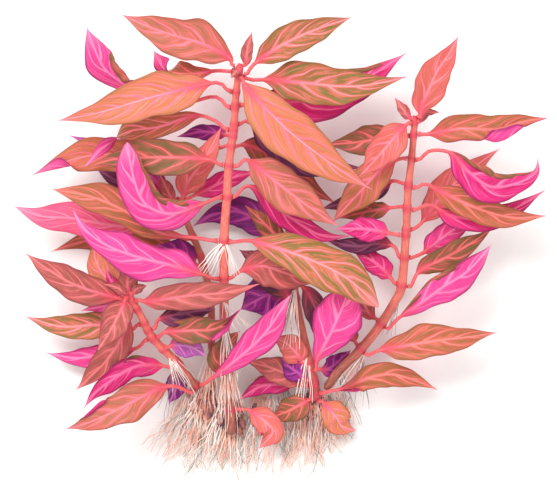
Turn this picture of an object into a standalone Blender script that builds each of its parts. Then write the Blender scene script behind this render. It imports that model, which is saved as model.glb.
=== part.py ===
# Rosanervig scarlet temple: a bare-root bunch of five leafy stems, lying on its back on a table.
# Lengths in the tables are millimetres: x to the right of the bunch, y towards the shoot tips, z up off
# the table. The origin is on the table, under the middle of the bunch.

import math

import bmesh
import bpy
from mathutils import Quaternion, Vector

MM = 0.001
GAP = 0.3  # between pieces that touch
CUP = 10  # degrees that each half of a blade is lifted
BLADE_THICKNESS = 0.7  # at the midrib
STALK_RADIUS = 0.85
STALK_LENGTH = 6.0
WIDEST_AT = 0.42  # of the blade, from the stalk
TIP_SHARPNESS = 1.05
CURL_FROM = 0.7  # of the half width, where a rolled margin starts
NODE_SWELL = 1.28
RING_STEP = 11.0  # along a leaf
STEM_RING_STEP = 10.0
STEM_SIDES = 8
UP = Vector((0, 0, 1))

# Each stem from its base to its tip: x, y, z and the stem's radius.
STEMS = {
    "stem_main": [
        (-19.6, -73.6, 7.6, 2.1),
        (-20.2, -61, 9.6, 2.2),
        (-21.6, -45, 14, 2.1),
        (-22.4, -25, 21.5, 1.9),
        (-22.4, -10.8, 27.5, 1.8),
        (-22.4, 4.4, 32, 1.8),
        (-21.2, 22, 36, 1.7),
        (-20.4, 34.8, 38.5, 1.6),
        (-18.4, 49.2, 40, 1.5),
        (-17.4, 64, 41.5, 1.4),
        (-15.8, 75, 43, 1.3),
    ],
    "stem_right": [
        (18.4, -55.2, 11, 1.7),
        (24, -47.5, 14, 1.8),
        (32.4, -39.2, 17, 1.9),
        (40.4, -29.2, 20, 1.9),
        (46, -20, 23, 1.8),
        (48.8, -13.2, 25.5, 1.8),
        (50.4, 6.8, 29, 1.6),
        (51.2, 24.8, 31.5, 1.5),
        (52.6, 37.6, 33, 1.4),
        (54, 54.4, 34.5, 1.2),
    ],
    "stem_left": [
        (-33.2, -55.2, 8.4, 1.9),
        (-42, -44, 15, 1.7),
        (-51.2, -34.4, 21, 1.6),
        (-56, -25.2, 25, 1.4),
        (-61, -16.4, 27, 1.2),
    ],
    "stem_middle": [
        (14.8, -60, 7.8, 2.0),
        (12.4, -47.2, 12.5, 1.9),
        (9.2, -33.2, 15, 1.7),
        (6.4, -19.2, 16.5, 1.6),
        (4.6, -3, 18, 1.5),
        (3.2, 13, 19, 1.3),
    ],
    "stem_back": [
        (-27, -56, 5.2, 1.5),
        (-27.6, -40, 8, 1.5),
        (-28, -20, 12, 1.5),
        (-31.5, -3, 15.5, 1.4),
        (-37, 11, 18.5, 1.3),
        (-41.4, 22, 21, 1.2),
    ],
}

FLAT = (0, 0, 0)
PINK = (180, 180, 180)


def leaf(
    stem,
    points,
    width,
    roll=FLAT,
    curl=(0, 0),
    wave=(0.5, 1.3, 0.0),
    stalk=STALK_LENGTH,
    widest=WIDEST_AT,
    lean=0.0,
):
    # points: the node on the stem, then the midrib to the tip. roll: degrees about the midrib at the
    # stalk, the middle and the tip; 0 turns the upper face up off the table, 180 the pink underside.
    # curl: degrees that the two margins are rolled. wave: height, number and phase of the ripples.
    # widest: where, from stalk to tip. lean: how much wider one half is.
    return {
        "stem": stem,
        "points": [Vector(point) for point in points],
        "width": width,
        "roll": roll,
        "curl": curl,
        "wave": wave,
        "stalk": stalk,
        "widest": widest,
        "lean": lean,
    }


# The leaves that are pieces of their own, stem by stem, from the shoot tip down.
LEAVES = {
    "main_1_left": leaf(
        "stem_main",
        [
            (-17, 74, 42), (-20.5, 77.6, 43.5), (-31, 82.8, 46), (-41.3, 85.8, 46), (-52, 89.4, 45),
            (-63, 94.6, 41),
        ],
        16.5, (8, -6, 0), stalk=2,
    ),
    "main_1_right": leaf(
        "stem_main",
        [(-15, 71.6, 41), (-9.8, 75.2, 43), (1.3, 82.6, 46), (14.7, 88.6, 45), (28.9, 93.5, 40)],
        13, (-8, 6, 0),
    ),
    "main_1b_left": leaf(
        "stem_main",
        [(-17, 71.6, 40), (-26, 72.2, 39), (-36, 71, 36), (-45.5, 72.8, 34), (-50.4, 80.4, 33)],
        10, (0, 60, 170), widest=0.62,
    ),
    "main_1b_right": leaf(
        "stem_main",
        [
            (-15, 69.6, 40), (-11.8, 68.6, 40), (-4, 68.6, 40), (5, 67.8, 41), (14, 66.9, 41),
            (25, 66, 40), (36, 66.7, 38.5), (50.8, 69.9, 36),
        ],
        17, (0, -3, 3), stalk=9, widest=0.34,
    ),
    "main_2_left": leaf(
        "stem_main",
        [
            (-18, 64, 41), (-24, 67.2, 44), (-30.8, 66.4, 46), (-52, 61.2, 46), (-72, 55.4, 44),
            (-88.8, 52.4, 39),
        ],
        17.6, (0, 8, -10), stalk=10, widest=0.36,
    ),
    "main_2_right": leaf(
        "stem_main",
        [(-16.6, 69.4, 42), (-13, 65, 48), (2.8, 48.6, 52), (20, 35.2, 50), (36.4, 24.8, 44)],
        19.4, (0, 10, 0), stalk=3, lean=-0.06,
    ),
    "main_3_left": leaf(
        "stem_main",
        [
            (-18, 57, 40), (-26, 62, 37), (-38, 59.6, 34), (-52, 61.6, 33), (-62, 67, 34),
            (-69.5, 72.8, 36), (-73, 78.8, 38), (-77.2, 89.6, 38),
        ],
        12.5, (0, 110, 190), stalk=18, widest=0.7,
    ),
    "main_3_right": leaf(
        "stem_main",
        [(-16, 58.8, 40), (-7.2, 58.8, 35), (4, 60, 31), (18, 62, 28), (36, 70.4, 28), (50.4, 79.6, 30)],
        19, (180, 170, 180), curl=(0, -60),
    ),
    "main_4_left": leaf(
        "stem_main",
        [
            (-19, 49, 39), (-26, 52.4, 37), (-34, 54.4, 36), (-48, 50, 34), (-60.8, 48, 32),
            (-70.8, 41.6, 30), (-78, 34, 28),
        ],
        10.5, (0, 10, 120), stalk=10,
    ),
    "main_4_right": leaf(
        "stem_main",
        [(-18, 50.4, 39), (-12.8, 52, 36), (0, 43.4, 28), (16, 35, 22), (33.2, 34, 18)],
        15, (180, 180, 180),
    ),
    "main_5_left": leaf(
        "stem_main",
        [
            (-20, 41.6, 39), (-26.4, 41, 28), (-40, 39, 22), (-56, 39, 20), (-74, 39, 20), (-88, 35.6, 21),
            (-99.2, 31.2, 21),
        ],
        14, (0, 0, 60), stalk=12, widest=0.6,
    ),
    "main_6_left": leaf(
        "stem_main",
        [
            (-20.6, 35, 38.5), (-28, 36.8, 40), (-40, 37.6, 40), (-56, 37.6, 38), (-67.2, 36.8, 35),
            (-74.8, 34.8, 32),
        ],
        15, (0, 6, 0), stalk=5,
    ),
    "main_6_right": leaf(
        "stem_main",
        [
            (-20, 34.8, 38.5), (-13.6, 36.8, 40), (-7.2, 32.4, 40), (4, 23.6, 39), (14.4, 16, 37),
            (23.2, 10.4, 35),
        ],
        16.5, (0, 6, 0),
    ),
    "main_7_left": leaf(
        "stem_main",
        [
            (-21.4, 21.6, 36), (-32, 18.8, 40), (-43.2, 15.2, 43), (-53.2, 18.8, 46), (-58, 28.8, 47),
            (-60.8, 43.6, 45),
        ],
        14.5, (150, 180, 180), curl=(-70, 0),
    ),
    "main_7_right": leaf(
        "stem_main",
        [(-21.2, 22.4, 36), (-14, 26, 34), (-8.8, 24.4, 32.5), (2, 15.2, 28), (16, 6.8, 25), (28, 6.4, 24)],
        8.5, (120, 140, 150),
    ),
    "main_8_left": leaf(
        "stem_main",
        [
            (-22.4, 4.4, 32), (-36, 6, 34), (-48.8, 8, 35), (-62, 16.4, 35), (-75.2, 22, 34),
            (-91.2, 25.2, 32),
        ],
        13, (0, 10, 0), stalk=9,
    ),
    "main_8_right": leaf(
        "stem_main",
        [(-22.4, 4.8, 32), (-12.8, 4.6, 38), (-6, 3, 41), (10, -2.2, 43), (26, -10, 42), (39.6, -22, 38)],
        17.5, (0, 5, 0), stalk=8,
    ),
    "main_9_left": leaf(
        "stem_main",
        [
            (-22.4, -10.8, 27.5), (-32, -8.8, 34), (-44, -5.2, 38), (-58, -1.6, 41), (-70, 3.2, 43),
            (-78, 9.6, 44), (-82.4, 16.8, 43),
        ],
        15.6, (180, 180, 180), wave=(1.0, 1.6, 0.6), stalk=8,
    ),
    "right_0_up": leaf(
        "stem_right",
        [
            (54, 54, 34.5), (56.8, 59, 37.5), (59, 64, 38.5), (62.6, 72, 39.5), (68, 80, 40),
            (71.2, 86, 39.5),
        ],
        13, (0, 5, 0), stalk=1,
    ),
    "right_1_left": leaf(
        "stem_right",
        [(53.6, 51.6, 34), (48, 48.6, 38), (43.2, 42.8, 40), (37.2, 36, 39), (31.6, 30, 37)],
        13, (0, 6, 0), stalk=2,
    ),
    "right_1_right": leaf(
        "stem_right",
        [(53.4, 46.8, 34), (60, 47.2, 35), (72, 49.2, 36), (86, 49, 36), (96.8, 52, 35), (107, 53.6, 34)],
        12.6, (0, -8, 0), curl=(0, 50), stalk=3,
    ),
    "right_1_back": leaf(
        "stem_right",
        [(53, 46, 33), (44, 46, 29), (31.2, 44, 26), (18, 43, 24)],
        12, FLAT, stalk=2,
    ),
    "right_2_left": leaf(
        "stem_right",
        [(52.4, 37.2, 33), (44.8, 36, 31), (39.2, 32, 30), (32, 24, 27), (20.8, 12, 23)],
        14, (0, 6, 0), stalk=4,
    ),
    "right_2_right": leaf(
        "stem_right",
        [
            (52.8, 37.6, 33), (60, 40.4, 36), (68, 39.4, 39), (75, 32, 40), (84, 26, 40), (94.4, 27.4, 40),
            (101.6, 31.4, 39), (102.8, 37.2, 38),
        ],
        13.6, (150, 180, 180), curl=(0, -70), stalk=14,
    ),
    "right_3_right": leaf(
        "stem_right",
        [
            (51.2, 26, 31.5), (58, 27.2, 33), (64, 24.4, 33), (78, 17.8, 32.5), (92.8, 13.8, 31),
            (106.8, 14.4, 29),
        ],
        11.8, (0, 8, 0), stalk=7,
    ),
    "right_4_right": leaf(
        "stem_right",
        [
            (51, 16.8, 30), (60, 18.8, 29.5), (68.8, 14.4, 27.5), (84, 13.2, 25.5), (96, 18.4, 25),
            (106, 24.8, 26),
        ],
        10.5, (140, 170, 180), stalk=8,
    ),
    "right_5_left": leaf(
        "stem_right",
        [(50.4, 6.8, 29), (43.2, 7.6, 30), (34, 9.2, 30), (22.6, 9.2, 29)],
        10, (180, 180, 180), stalk=4,
    ),
    "right_5_right": leaf(
        "stem_right",
        [(50.4, 8.4, 29), (57, 12, 24), (66, 23.6, 12), (77, 33, 2.5), (83, 37.6, 0), (89.2, 42, 0)],
        13, (0, 0, 0),
    ),
    "right_6_right": leaf(
        "stem_right",
        [(49.8, -2, 27.5), (58, 0, 23), (64.8, 5.2, 18), (72, 10.4, 15), (80, 15.2, 14)],
        10.5, (180, 175, 180),
    ),
    "right_7_left": leaf(
        "stem_right",
        [(48.6, -13.6, 25.5), (43.8, -9.6, 22), (38.4, -4.4, 18), (28.8, 1.2, 14)],
        9, (160, 180, 180), stalk=3,
    ),
    "right_7_right": leaf(
        "stem_right",
        [(48.8, -13.2, 25.5), (56, -7.6, 26), (66, -2.4, 25), (76.8, 3.6, 22), (85.6, 9.6, 19)],
        10, (0, 10, 0),
    ),
    "right_8_right": leaf(
        "stem_right",
        [
            (40.6, -29, 20), (48, -26, 24), (56, -20.8, 27), (65.2, -14, 30), (75.2, -7.4, 32),
            (84.8, 3.2, 31),
        ],
        12.5, (180, 180, 180), curl=(0, -60), wave=(1.0, 1.6, 0.5), widest=0.5,
    ),
    "right_9_right": leaf(
        "stem_right",
        [
            (32.4, -39.2, 17), (40.8, -39.2, 21), (50, -37.6, 23), (64, -35.4, 23), (76.8, -34, 21),
            (87.2, -32.4, 18),
        ],
        13.5, (0, -6, 0),
    ),
    "middle_0_right": leaf(
        "stem_middle",
        [
            (14, -56.6, 9.2), (19, -56.2, 14), (26, -54.8, 16), (35.2, -50.8, 17), (44.8, -49.2, 16),
            (55.2, -52, 13), (63.6, -55.6, 9),
        ],
        10.5, (60, 0, -10), stalk=8,
    ),
    "middle_1_up": leaf(
        "stem_middle",
        [(12.5, -47.4, 12.5), (15.2, -42.4, 20), (20, -33.2, 27), (24.8, -22.4, 31), (28, -13.2, 31)],
        18, (180, 180, 180), stalk=3,
    ),
    "middle_1_left": leaf(
        "stem_middle",
        [(13, -52.8, 11), (6.8, -51.6, 13), (-2, -47.2, 14), (-13.6, -44, 13)],
        11, FLAT, stalk=2,
    ),
    "middle_5_left": leaf(
        "stem_middle",
        [(4.2, 6.4, 18.4), (-6, 10.8, 12), (-16, 16, 9), (-26, 15.2, 7), (-35.2, 10.4, 6)],
        13, (180, 180, 180), stalk=3,
    ),
    "left_0_left": leaf(
        "stem_left",
        [(-61, -17.6, 27), (-70, -17.2, 28), (-83.2, -12.6, 29), (-94, -6.2, 28), (-102, -0.4, 26)],
        13, (0, -6, 0), stalk=2,
    ),
    "left_0_right": leaf(
        "stem_left",
        [(-59, -20, 26.5), (-52, -19.6, 31), (-36, -17.4, 35), (-20.8, -16, 36), (-8, -12.8, 34)],
        11.5, (0, 6, 0), stalk=2,
    ),
    "left_0_front": leaf(
        "stem_left",
        [(-60.4, -17.6, 27), (-63.2, -22.4, 33), (-67.6, -31.2, 36), (-72.8, -39.2, 35)],
        12, FLAT, stalk=1.5,
    ),
    "left_1_front": leaf(
        "stem_left",
        [
            (-57.4, -23, 25), (-61, -29, 25.5), (-65, -37, 24), (-70.5, -44.5, 19), (-76.8, -50.6, 15),
            (-82.4, -55.6, 12),
        ],
        12.5, FLAT, stalk=3,
    ),
    "left_1_left": leaf(
        "stem_left",
        [(-54.4, -28.4, 23.5), (-60.8, -31.6, 20), (-72.8, -29.4, 17), (-88, -30, 15), (-102.8, -26, 13)],
        11, FLAT,
    ),
    "left_1_right": leaf(
        "stem_left",
        [(-53, -31.4, 22), (-48, -26.8, 25), (-38, -24.6, 26.4), (-25.8, -22.8, 25.6)],
        7.5, (120, 150, 160), stalk=4,
    ),
    "left_2_left": leaf(
        "stem_left",
        [(-51.6, -34, 21), (-58, -38.8, 18), (-68, -40.6, 13), (-82, -42.8, 9), (-94.8, -40.8, 6)],
        9.5, (180, 180, 180), curl=(-50, 0),
    ),
    "left_2_right": leaf(
        "stem_left",
        [(-50.8, -34.8, 21), (-45.6, -32, 26), (-35.2, -31.4, 29), (-25.2, -30.4, 30), (-15.6, -22.8, 30)],
        11, (0, 0, 60), stalk=4,
    ),
    "left_3_left": leaf(
        "stem_left",
        [
            (-42.4, -43.8, 15), (-48, -45.6, 18), (-58, -46, 22), (-67.2, -51.2, 23), (-74, -56.4, 22),
            (-78.8, -62.8, 19),
        ],
        10, (180, 180, 180), curl=(-50, 0), stalk=3,
    ),
    "left_4_left": leaf(
        "stem_left",
        [
            (-34, -54.6, 9), (-42, -54, 18), (-48, -54.6, 22), (-56, -58.4, 26), (-67.2, -64.2, 28),
            (-76.8, -68.4, 26), (-86, -71.2, 22),
        ],
        14, (0, 5, 0), wave=(1.2, 1.5, 2.0), stalk=14,
    ),
    "left_4_right": leaf(
        "stem_left",
        [(-33.6, -54, 9.4), (-24.8, -48.8, 20), (-16, -42, 25), (-5.6, -32, 29), (4.4, -16.8, 31)],
        12, (180, 180, 180),
    ),
    "left_0_back": leaf(
        "stem_left",
        [(-60, -17.2, 27), (-64.5, -13.8, 18), (-70.5, -9.8, 14.5), (-74.4, -3.2, 11), (-75, 4.8, 7)],
        11, FLAT, stalk=3,
    ),
    "back_0_up": leaf(
        "stem_back",
        [(-41.4, 21, 21), (-36.8, 28, 28), (-30, 37.6, 33.5), (-23.2, 50, 34.5)],
        12, (0, -10, 0), stalk=1,
    ),
    "back_0_left": leaf(
        "stem_back",
        [(-41, 18.8, 20.2), (-46, 24, 20), (-56, 33.6, 14), (-70, 41.6, 9), (-85.2, 47.2, 4)],
        11, FLAT,
    ),
    "back_1_left": leaf(
        "stem_back",
        [(-39.6, 18, 20), (-54, 24.8, 8), (-65, 28.6, 0.5), (-70, 31, 0), (-75.2, 34.8, 0)],
        12, (180, 180, 180),
    ),
    "back_2_left": leaf(
        "stem_back",
        [
            (-34.6, 6, 17), (-52, 9.2, 15), (-68, 10.8, 16), (-84, 13.6, 18.5), (-96, 14.4, 20),
            (-107, 18.3, 20),
        ],
        13, (180, 180, 180), widest=0.62,
    ),
    "back_3_left": leaf(
        "stem_back",
        [(-32, -1.6, 15.6), (-40, -0.4, 10), (-52, 2.2, 6.5), (-68, 4, 3), (-80, 4.2, 0), (-92.8, 0.2, 0)],
        12.5, FLAT,
    ),
}

# Small leaves, fused to the stem that they grow from, which keep the places of their pairs.
SMALL_LEAVES = {
    "main_bud_up": leaf(
        "stem_main",
        [(-15.6, 74.4, 43), (-13, 80.5, 44), (-11.2, 87.6, 44)],
        4.8, FLAT, stalk=0.5,
    ),
    "main_bud_down": leaf(
        "stem_main",
        [(-16, 73, 43), (-17.6, 71.8, 46), (-19.6, 69.2, 47)],
        3.6, FLAT, stalk=0.5,
    ),
    "main_4_back": leaf(
        "stem_main",
        [(-18.8, 46, 39.5), (-22.4, 47, 31), (-27.2, 47.8, 28.5), (-33, 48, 28), (-41.2, 46, 27)],
        6.5, PINK,
    ),
    "main_5_right": leaf(
        "stem_main",
        [(-19.4, 42, 39), (-13, 42.8, 30), (-5, 39.4, 22), (3, 34.4, 17), (14, 24.8, 13), (22.4, 19.6, 11)],
        12, FLAT,
    ),
    "main_9_right": leaf(
        "stem_main",
        [(-22.4, -10.8, 27.5), (-14.8, -7.2, 29), (-7.2, -5.6, 28), (2, -8.4, 27), (15.2, -12.8, 25)],
        10.5, FLAT,
    ),
    "main_11_left": leaf(
        "stem_main",
        [(-21.2, -48, 13), (-23.6, -43, 19), (-20.5, -36.5, 21), (-16, -31.6, 20)],
        9, FLAT, stalk=2,
    ),
    "main_12_right": leaf(
        "stem_main",
        [(-20.2, -63.4, 9.2), (-12, -64, 12), (-5.2, -69, 13), (-3, -73, 12), (-8.8, -79.6, 9)],
        8.5, FLAT,
    ),
    "right_bud_left": leaf(
        "stem_right",
        [(54, 53.6, 34.5), (49, 57, 36), (46, 61.6, 36)],
        4.2, FLAT, stalk=0.5,
    ),
    "right_bud_right": leaf(
        "stem_right",
        [(54, 52.4, 34.4), (58.5, 55.8, 34), (63.6, 55.6, 33.5)],
        3.6, FLAT, stalk=0.5,
    ),
    "right_3_left": leaf(
        "stem_right",
        [(51.6, 27, 31.5), (44.8, 28.4, 27), (38, 24.8, 24), (27.2, 20, 20), (16, 17.2, 18)],
        9, PINK,
    ),
    "right_4_left": leaf(
        "stem_right",
        [(51, 17.6, 30), (43.2, 17.6, 26), (34, 16, 20), (24, 13.6, 16)],
        7.5, FLAT,
    ),
    "right_6_left": leaf(
        "stem_right",
        [(50, -2, 27.5), (45.6, 2.4, 25), (39.2, 3.6, 23), (30, 2.4, 21), (18, 4.8, 19)],
        8, (150, 160, 170),
    ),
    "right_8_left": leaf(
        "stem_right",
        [(40.6, -29, 20), (36, -24.8, 16), (33.2, -20, 14), (28.8, -12, 11)],
        7, FLAT, stalk=2,
    ),
    "right_9_left": leaf(
        "stem_right",
        [(32.6, -39, 17), (29.6, -34.8, 15.5), (25.2, -26.4, 14)],
        6, FLAT, stalk=2,
    ),
    "middle_0_left": leaf(
        "stem_middle",
        [(14.4, -58, 8.6), (8.8, -61.2, 13), (2.8, -64.4, 11), (-4, -66.8, 8)],
        9, FLAT, stalk=2,
    ),
    "middle_0_down": leaf(
        "stem_middle",
        [(14.8, -59.8, 8), (19, -62.4, 11), (22.8, -66.8, 10.5), (25.2, -70.4, 8), (30.8, -72.4, 6)],
        9.5, FLAT, stalk=2,
    ),
    "middle_1_right": leaf(
        "stem_middle",
        [(12.8, -48, 12.2), (20.5, -46.6, 12), (28.4, -39.6, 10)],
        6, PINK, stalk=2,
    ),
    "middle_1_low": leaf(
        "stem_middle",
        [(13.2, -53.6, 10.5), (4, -53.6, 9), (-7.2, -54, 8), (-16.8, -60, 7)],
        5.5, PINK,
    ),
    "middle_2_left": leaf(
        "stem_middle",
        [(12, -44.2, 13.1), (6.4, -40.4, 17.5), (2, -36.4, 19), (-3.2, -34.4, 19)],
        9, FLAT, stalk=2,
    ),
    "middle_1_back": leaf(
        "stem_middle",
        [(12.8, -51, 11.3), (8.2, -49.3, 15), (4.2, -46.4, 16), (0.4, -42.2, 15.4)],
        6.8, PINK, stalk=2,
    ),
    "middle_4_up": leaf(
        "stem_middle",
        [(6.6, -19, 16.5), (0, -12, 20), (-8, -4.5, 21), (-16.4, 1, 20)],
        12, FLAT, stalk=2,
    ),
    "middle_4_right": leaf(
        "stem_middle",
        [(5.6, -13, 17), (11.6, -17, 20), (16, -27, 17.5), (17.4, -36, 14), (17, -43, 12)],
        7.6, FLAT, stalk=2,
    ),
    "middle_5_up": leaf(
        "stem_middle",
        [(4.4, 1.6, 18.3), (-1.6, 6.4, 20), (-7.2, 12.4, 22), (-14, 18.8, 22)],
        8.5, FLAT, stalk=2,
    ),
    "middle_4_left": leaf(
        "stem_middle",
        [(6.6, -19, 16.5), (-4, -17.2, 12), (-16, -23.2, 10)],
        12, PINK, stalk=3,
    ),
    "left_bud_up": leaf(
        "stem_left",
        [(-61, -16.8, 27), (-61.2, -13.2, 28), (-59.2, -4, 28)],
        8, FLAT, stalk=1,
    ),
    "left_bud_pink": leaf(
        "stem_left",
        [(-61, -16.8, 27), (-66, -14.4, 24), (-70, -7, 20)],
        5, PINK, stalk=1,
    ),
    "left_bud_left": leaf(
        "stem_left",
        [(-61, -17, 27), (-64.5, -14.6, 29), (-70.4, -12.8, 29)],
        4, FLAT, stalk=0.5,
    ),
    "left_bud_right": leaf(
        "stem_left",
        [(-60.6, -17, 27), (-57, -14.6, 29), (-53.2, -13.6, 29)],
        4, FLAT, stalk=0.5,
    ),
    "left_1_back": leaf(
        "stem_left",
        [(-60, -19.6, 26.6), (-70.8, -21.6, 22), (-79.6, -23.6, 20)],
        5, PINK, stalk=3,
    ),
    "left_2_low": leaf(
        "stem_left",
        [(-47, -39.4, 18), (-42, -37.2, 21), (-36, -38, 22), (-29.5, -41.6, 20)],
        8, PINK, stalk=2,
    ),
    "left_3_down": leaf(
        "stem_left",
        [(-41.2, -45.4, 14.4), (-41.6, -53.2, 9), (-44.8, -61.6, 5)],
        6.5, PINK, stalk=3,
    ),
    "back_bud": leaf(
        "stem_back",
        [(-41.4, 21.4, 21), (-45.2, 24.8, 23), (-48, 30.8, 24)],
        5.5, FLAT, stalk=1,
    ),
    "back_0_right": leaf(
        "stem_back",
        [(-41, 20, 20.6), (-30, 24.8, 24), (-19.2, 29.6, 25), (-9.2, 32.4, 25)],
        8.5, PINK,
    ),
    "back_3_up": leaf("stem_back", [(-31, -5, 15.4), (-39, -1.4, 18), (-49.6, 3, 16)], 10, PINK, stalk=2.5),
}

# Root strands: where each leaves the tangled crown, its tip, and how far it sways sideways.
ROOT_CROWNS = {
    "left": (Vector((-32, -58, 0)), Vector((5.5, 6, 5.0))),
    "middle": (Vector((-20.4, -67, 0)), Vector((6.5, 9, 5.6))),
    "right": (Vector((14, -61.5, 0)), Vector((6, 6, 5.4))),
}
ROOT_FANS = {
    "left": [(-52, -79, 2), (-49, -88, -2), (-44, -86, 2), (-39.6, -93.8, 2), (-35, -84, -2), (-30, -87, 2)],
    "middle": [
        (-34, -80, -2),
        (-29, -90, 2),
        (-24, -91, -2),
        (-18, -90, 2),
        (-13, -93.5, -2),
        (-6.8, -94.6, 2),
        (-2, -88, -2),
    ],
    "right": [
        (-4, -84, 2),
        (2, -89, -2),
        (8, -91, 2),
        (11, -88, -2),
        (16, -83, 2),
        (22, -80, -2),
        (27, -76, 2),
        (31.5, -66, -2),
    ],
}
ROOT_TANGLES = [("left", "middle"), ("middle", "right")]
ROOT_THICK, ROOT_THIN = 1.3, 0.45
ROOT_SIDES, ROOT_RINGS = 4, 5


def smooth_route(points, count):
    # Evenly spaced points on a Catmull-Rom curve through the given points.
    ends = [2 * points[0] - points[1], *points, 2 * points[-1] - points[-2]]
    fine = []
    for before, start, end, after in zip(ends, ends[1:], ends[2:], ends[3:]):
        for step in range(12):
            t = step / 12
            fine.append(
                0.5
                * (
                    2 * start
                    + (end - before) * t
                    + (2 * before - 5 * start + 4 * end - after) * t**2
                    + (3 * start - before - 3 * end + after) * t**3
                )
            )
    fine.append(points[-1].copy())
    lengths = [0.0]
    for start, end in zip(fine, fine[1:]):
        lengths.append(lengths[-1] + (end.xyz - start.xyz).length)
    route = []
    for index in range(count):
        goal = lengths[-1] * index / (count - 1)
        segment = next(i for i in range(1, len(lengths)) if lengths[i] >= goal - 1e-6)
        share = (goal - lengths[segment - 1]) / (lengths[segment] - lengths[segment - 1])
        route.append(fine[segment - 1].lerp(fine[segment], share))
    return route


def route_at(route, share):
    place = min(max(share, 0.0), 1.0) * (len(route) - 1)
    index = min(int(place), len(route) - 2)
    return route[index].lerp(route[index + 1], place - index)


def direction_at(route, share):
    return (route_at(route, share + 0.02) - route_at(route, share - 0.02)).xyz.normalized()


def stem_route(name):
    return smooth_route([Vector(point) for point in STEMS[name]], 121)


STEM_ROUTES = {name: stem_route(name) for name in STEMS}


def leaf_route(spec, buried):
    # The midrib from the stem's surface to the tip. A buried stalk starts inside its stem, to be fused.
    route = STEM_ROUTES[spec["stem"]]
    node = spec["points"][0]
    index = min(range(len(route)), key=lambda i: (route[i].xyz - node).length)
    centre, radius = route[index].xyz, route[index].w * NODE_SWELL
    along = direction_at(route, index / (len(route) - 1))
    outward = spec["points"][1] - centre
    outward = (outward - along * outward.dot(along)).normalized()
    if buried:
        start = centre + outward * radius * 0.3
        shoulder = centre + outward * (radius + 0.6)
    else:
        start = centre + outward * (radius + GAP)
        shoulder = centre + outward * (radius + GAP + 1.2)
    return smooth_route([start, shoulder, *spec["points"][1:]], 61)


def blade_profile(t, widest):
    # The half width of a pointed leaf blade as a share of its widest, from the stalk (0) to the tip (1).
    if t <= 0 or t >= 1:
        return 0.0
    rise = TIP_SHARPNESS * widest / (1 - widest)
    return (t / widest) ** rise * ((1 - t) / (1 - widest)) ** TIP_SHARPNESS


def mix(a, b, t):
    t = min(max(t, 0.0), 1.0)
    return a + (b - a) * t * t * (3 - 2 * t)


def leaf_ring(spec, route, length, share, sides, rest_on_table):
    # One cross-section: a thin lens, folded at the midrib, rolled at its margins and turned about it.
    stalk = spec["stalk"] / length
    t = (share - stalk) / (1 - stalk)
    thinnest = STALK_RADIUS * min(1, 1 - t)
    blade = spec["width"] / 2 * blade_profile(t, spec["widest"])
    half_widths = [max(thinnest, blade * (1 + lean)) for lean in (spec["lean"], -spec["lean"])]
    half_thick = mix(STALK_RADIUS, BLADE_THICKNESS / 2, t / 0.25) * (1 - 0.5 * max(t, 0))
    opened = mix(0, 1, t / 0.2)
    start, middle, end = spec["roll"]
    roll = mix(start, middle, t / 0.5) if t < 0.5 else mix(middle, end, (t - 0.5) / 0.5)
    along = direction_at(route, share)
    across = UP.cross(along).normalized()
    normal = along.cross(across)
    turn = Quaternion(along, math.radians(roll))
    across, normal = turn @ across, turn @ normal
    height, count, phase = spec["wave"]
    centre = route_at(route, share)
    points = []
    for corner in range(sides):
        angle = 2 * math.pi * corner / sides
        u, lift = math.cos(angle), math.sin(angle)
        side = 0 if u >= 0 else 1
        reach = min(abs(u), CURL_FROM)
        rest = abs(u) - reach
        half_width = half_widths[side]
        cup = math.radians(CUP) * opened
        rolled = cup + math.radians(spec["curl"][side]) * opened
        out = (reach * math.cos(cup) + rest * math.cos(rolled)) * half_width * (1 if u >= 0 else -1)
        rise = (reach * math.sin(cup) + rest * math.sin(rolled)) * half_width
        ripple = math.sin(2 * math.pi * (count * max(t, 0) + 0.5 * side) + phase)
        rise += height * ripple * u * u * opened * (1 - max(t, 0) ** 3)
        middle_point = centre + across * out + normal * rise
        thick = normal * lift * half_thick
        if rest_on_table and middle_point.z < half_thick:
            middle_point.z = half_thick
            thick = UP * lift * half_thick * (1 if normal.z > 0 else -1)
        points.append(middle_point + thick)
    return points


def split_quads(bm, places, sides):
    # Both faces of a thin blade take the same diagonals, so that they can't cross where it twists.
    def outward(vertex):
        return abs(math.cos(2 * math.pi * places[vertex][1] / sides))

    for face in [face for face in bm.faces if len(face.verts) == 4]:
        first = min(places[vertex][0] for vertex in face.verts)
        near = [vertex for vertex in face.verts if places[vertex][0] == first]
        far = [vertex for vertex in face.verts if places[vertex][0] > first]
        if far:
            bmesh.utils.face_split(face, max(near, key=outward), min(far, key=outward))


def bent_cylinder(rings, tip):
    # A cylinder primitive, cut into rings and bent so that each ring takes its own points, up to the tip.
    sides = len(rings[0])
    bm = bmesh.new()
    bmesh.ops.create_cone(bm, cap_ends=True, segments=sides, radius1=1, radius2=1, depth=1)
    lengthwise = [edge for edge in bm.edges if abs(edge.verts[0].co.z - edge.verts[1].co.z) > 0.5]
    bmesh.ops.subdivide_edges(bm, edges=lengthwise, cuts=len(rings) - 1, use_grid_fill=True)
    places = {}
    for vertex in bm.verts:
        ring = round((vertex.co.z + 0.5) * len(rings))
        corner = round(math.atan2(vertex.co.y, vertex.co.x) / (2 * math.pi) * sides) % sides
        places[vertex] = (ring, corner)
        vertex.co = (rings[ring][corner] if ring < len(rings) else tip) * MM
    split_quads(bm, places, sides)
    bmesh.ops.remove_doubles(bm, verts=bm.verts, dist=1e-6)
    bmesh.ops.recalc_face_normals(bm, faces=bm.faces)
    return bm


def mesh_object(name, bm, material, collection):
    mesh = bpy.data.meshes.new(name)
    bm.to_mesh(mesh)
    bm.free()
    mesh.shade_smooth()
    mesh.set_sharp_from_angle(angle=math.radians(50))
    mesh.materials.append(material)
    made = bpy.data.objects.new(name, mesh)
    collection.objects.link(made)
    return made


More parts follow.
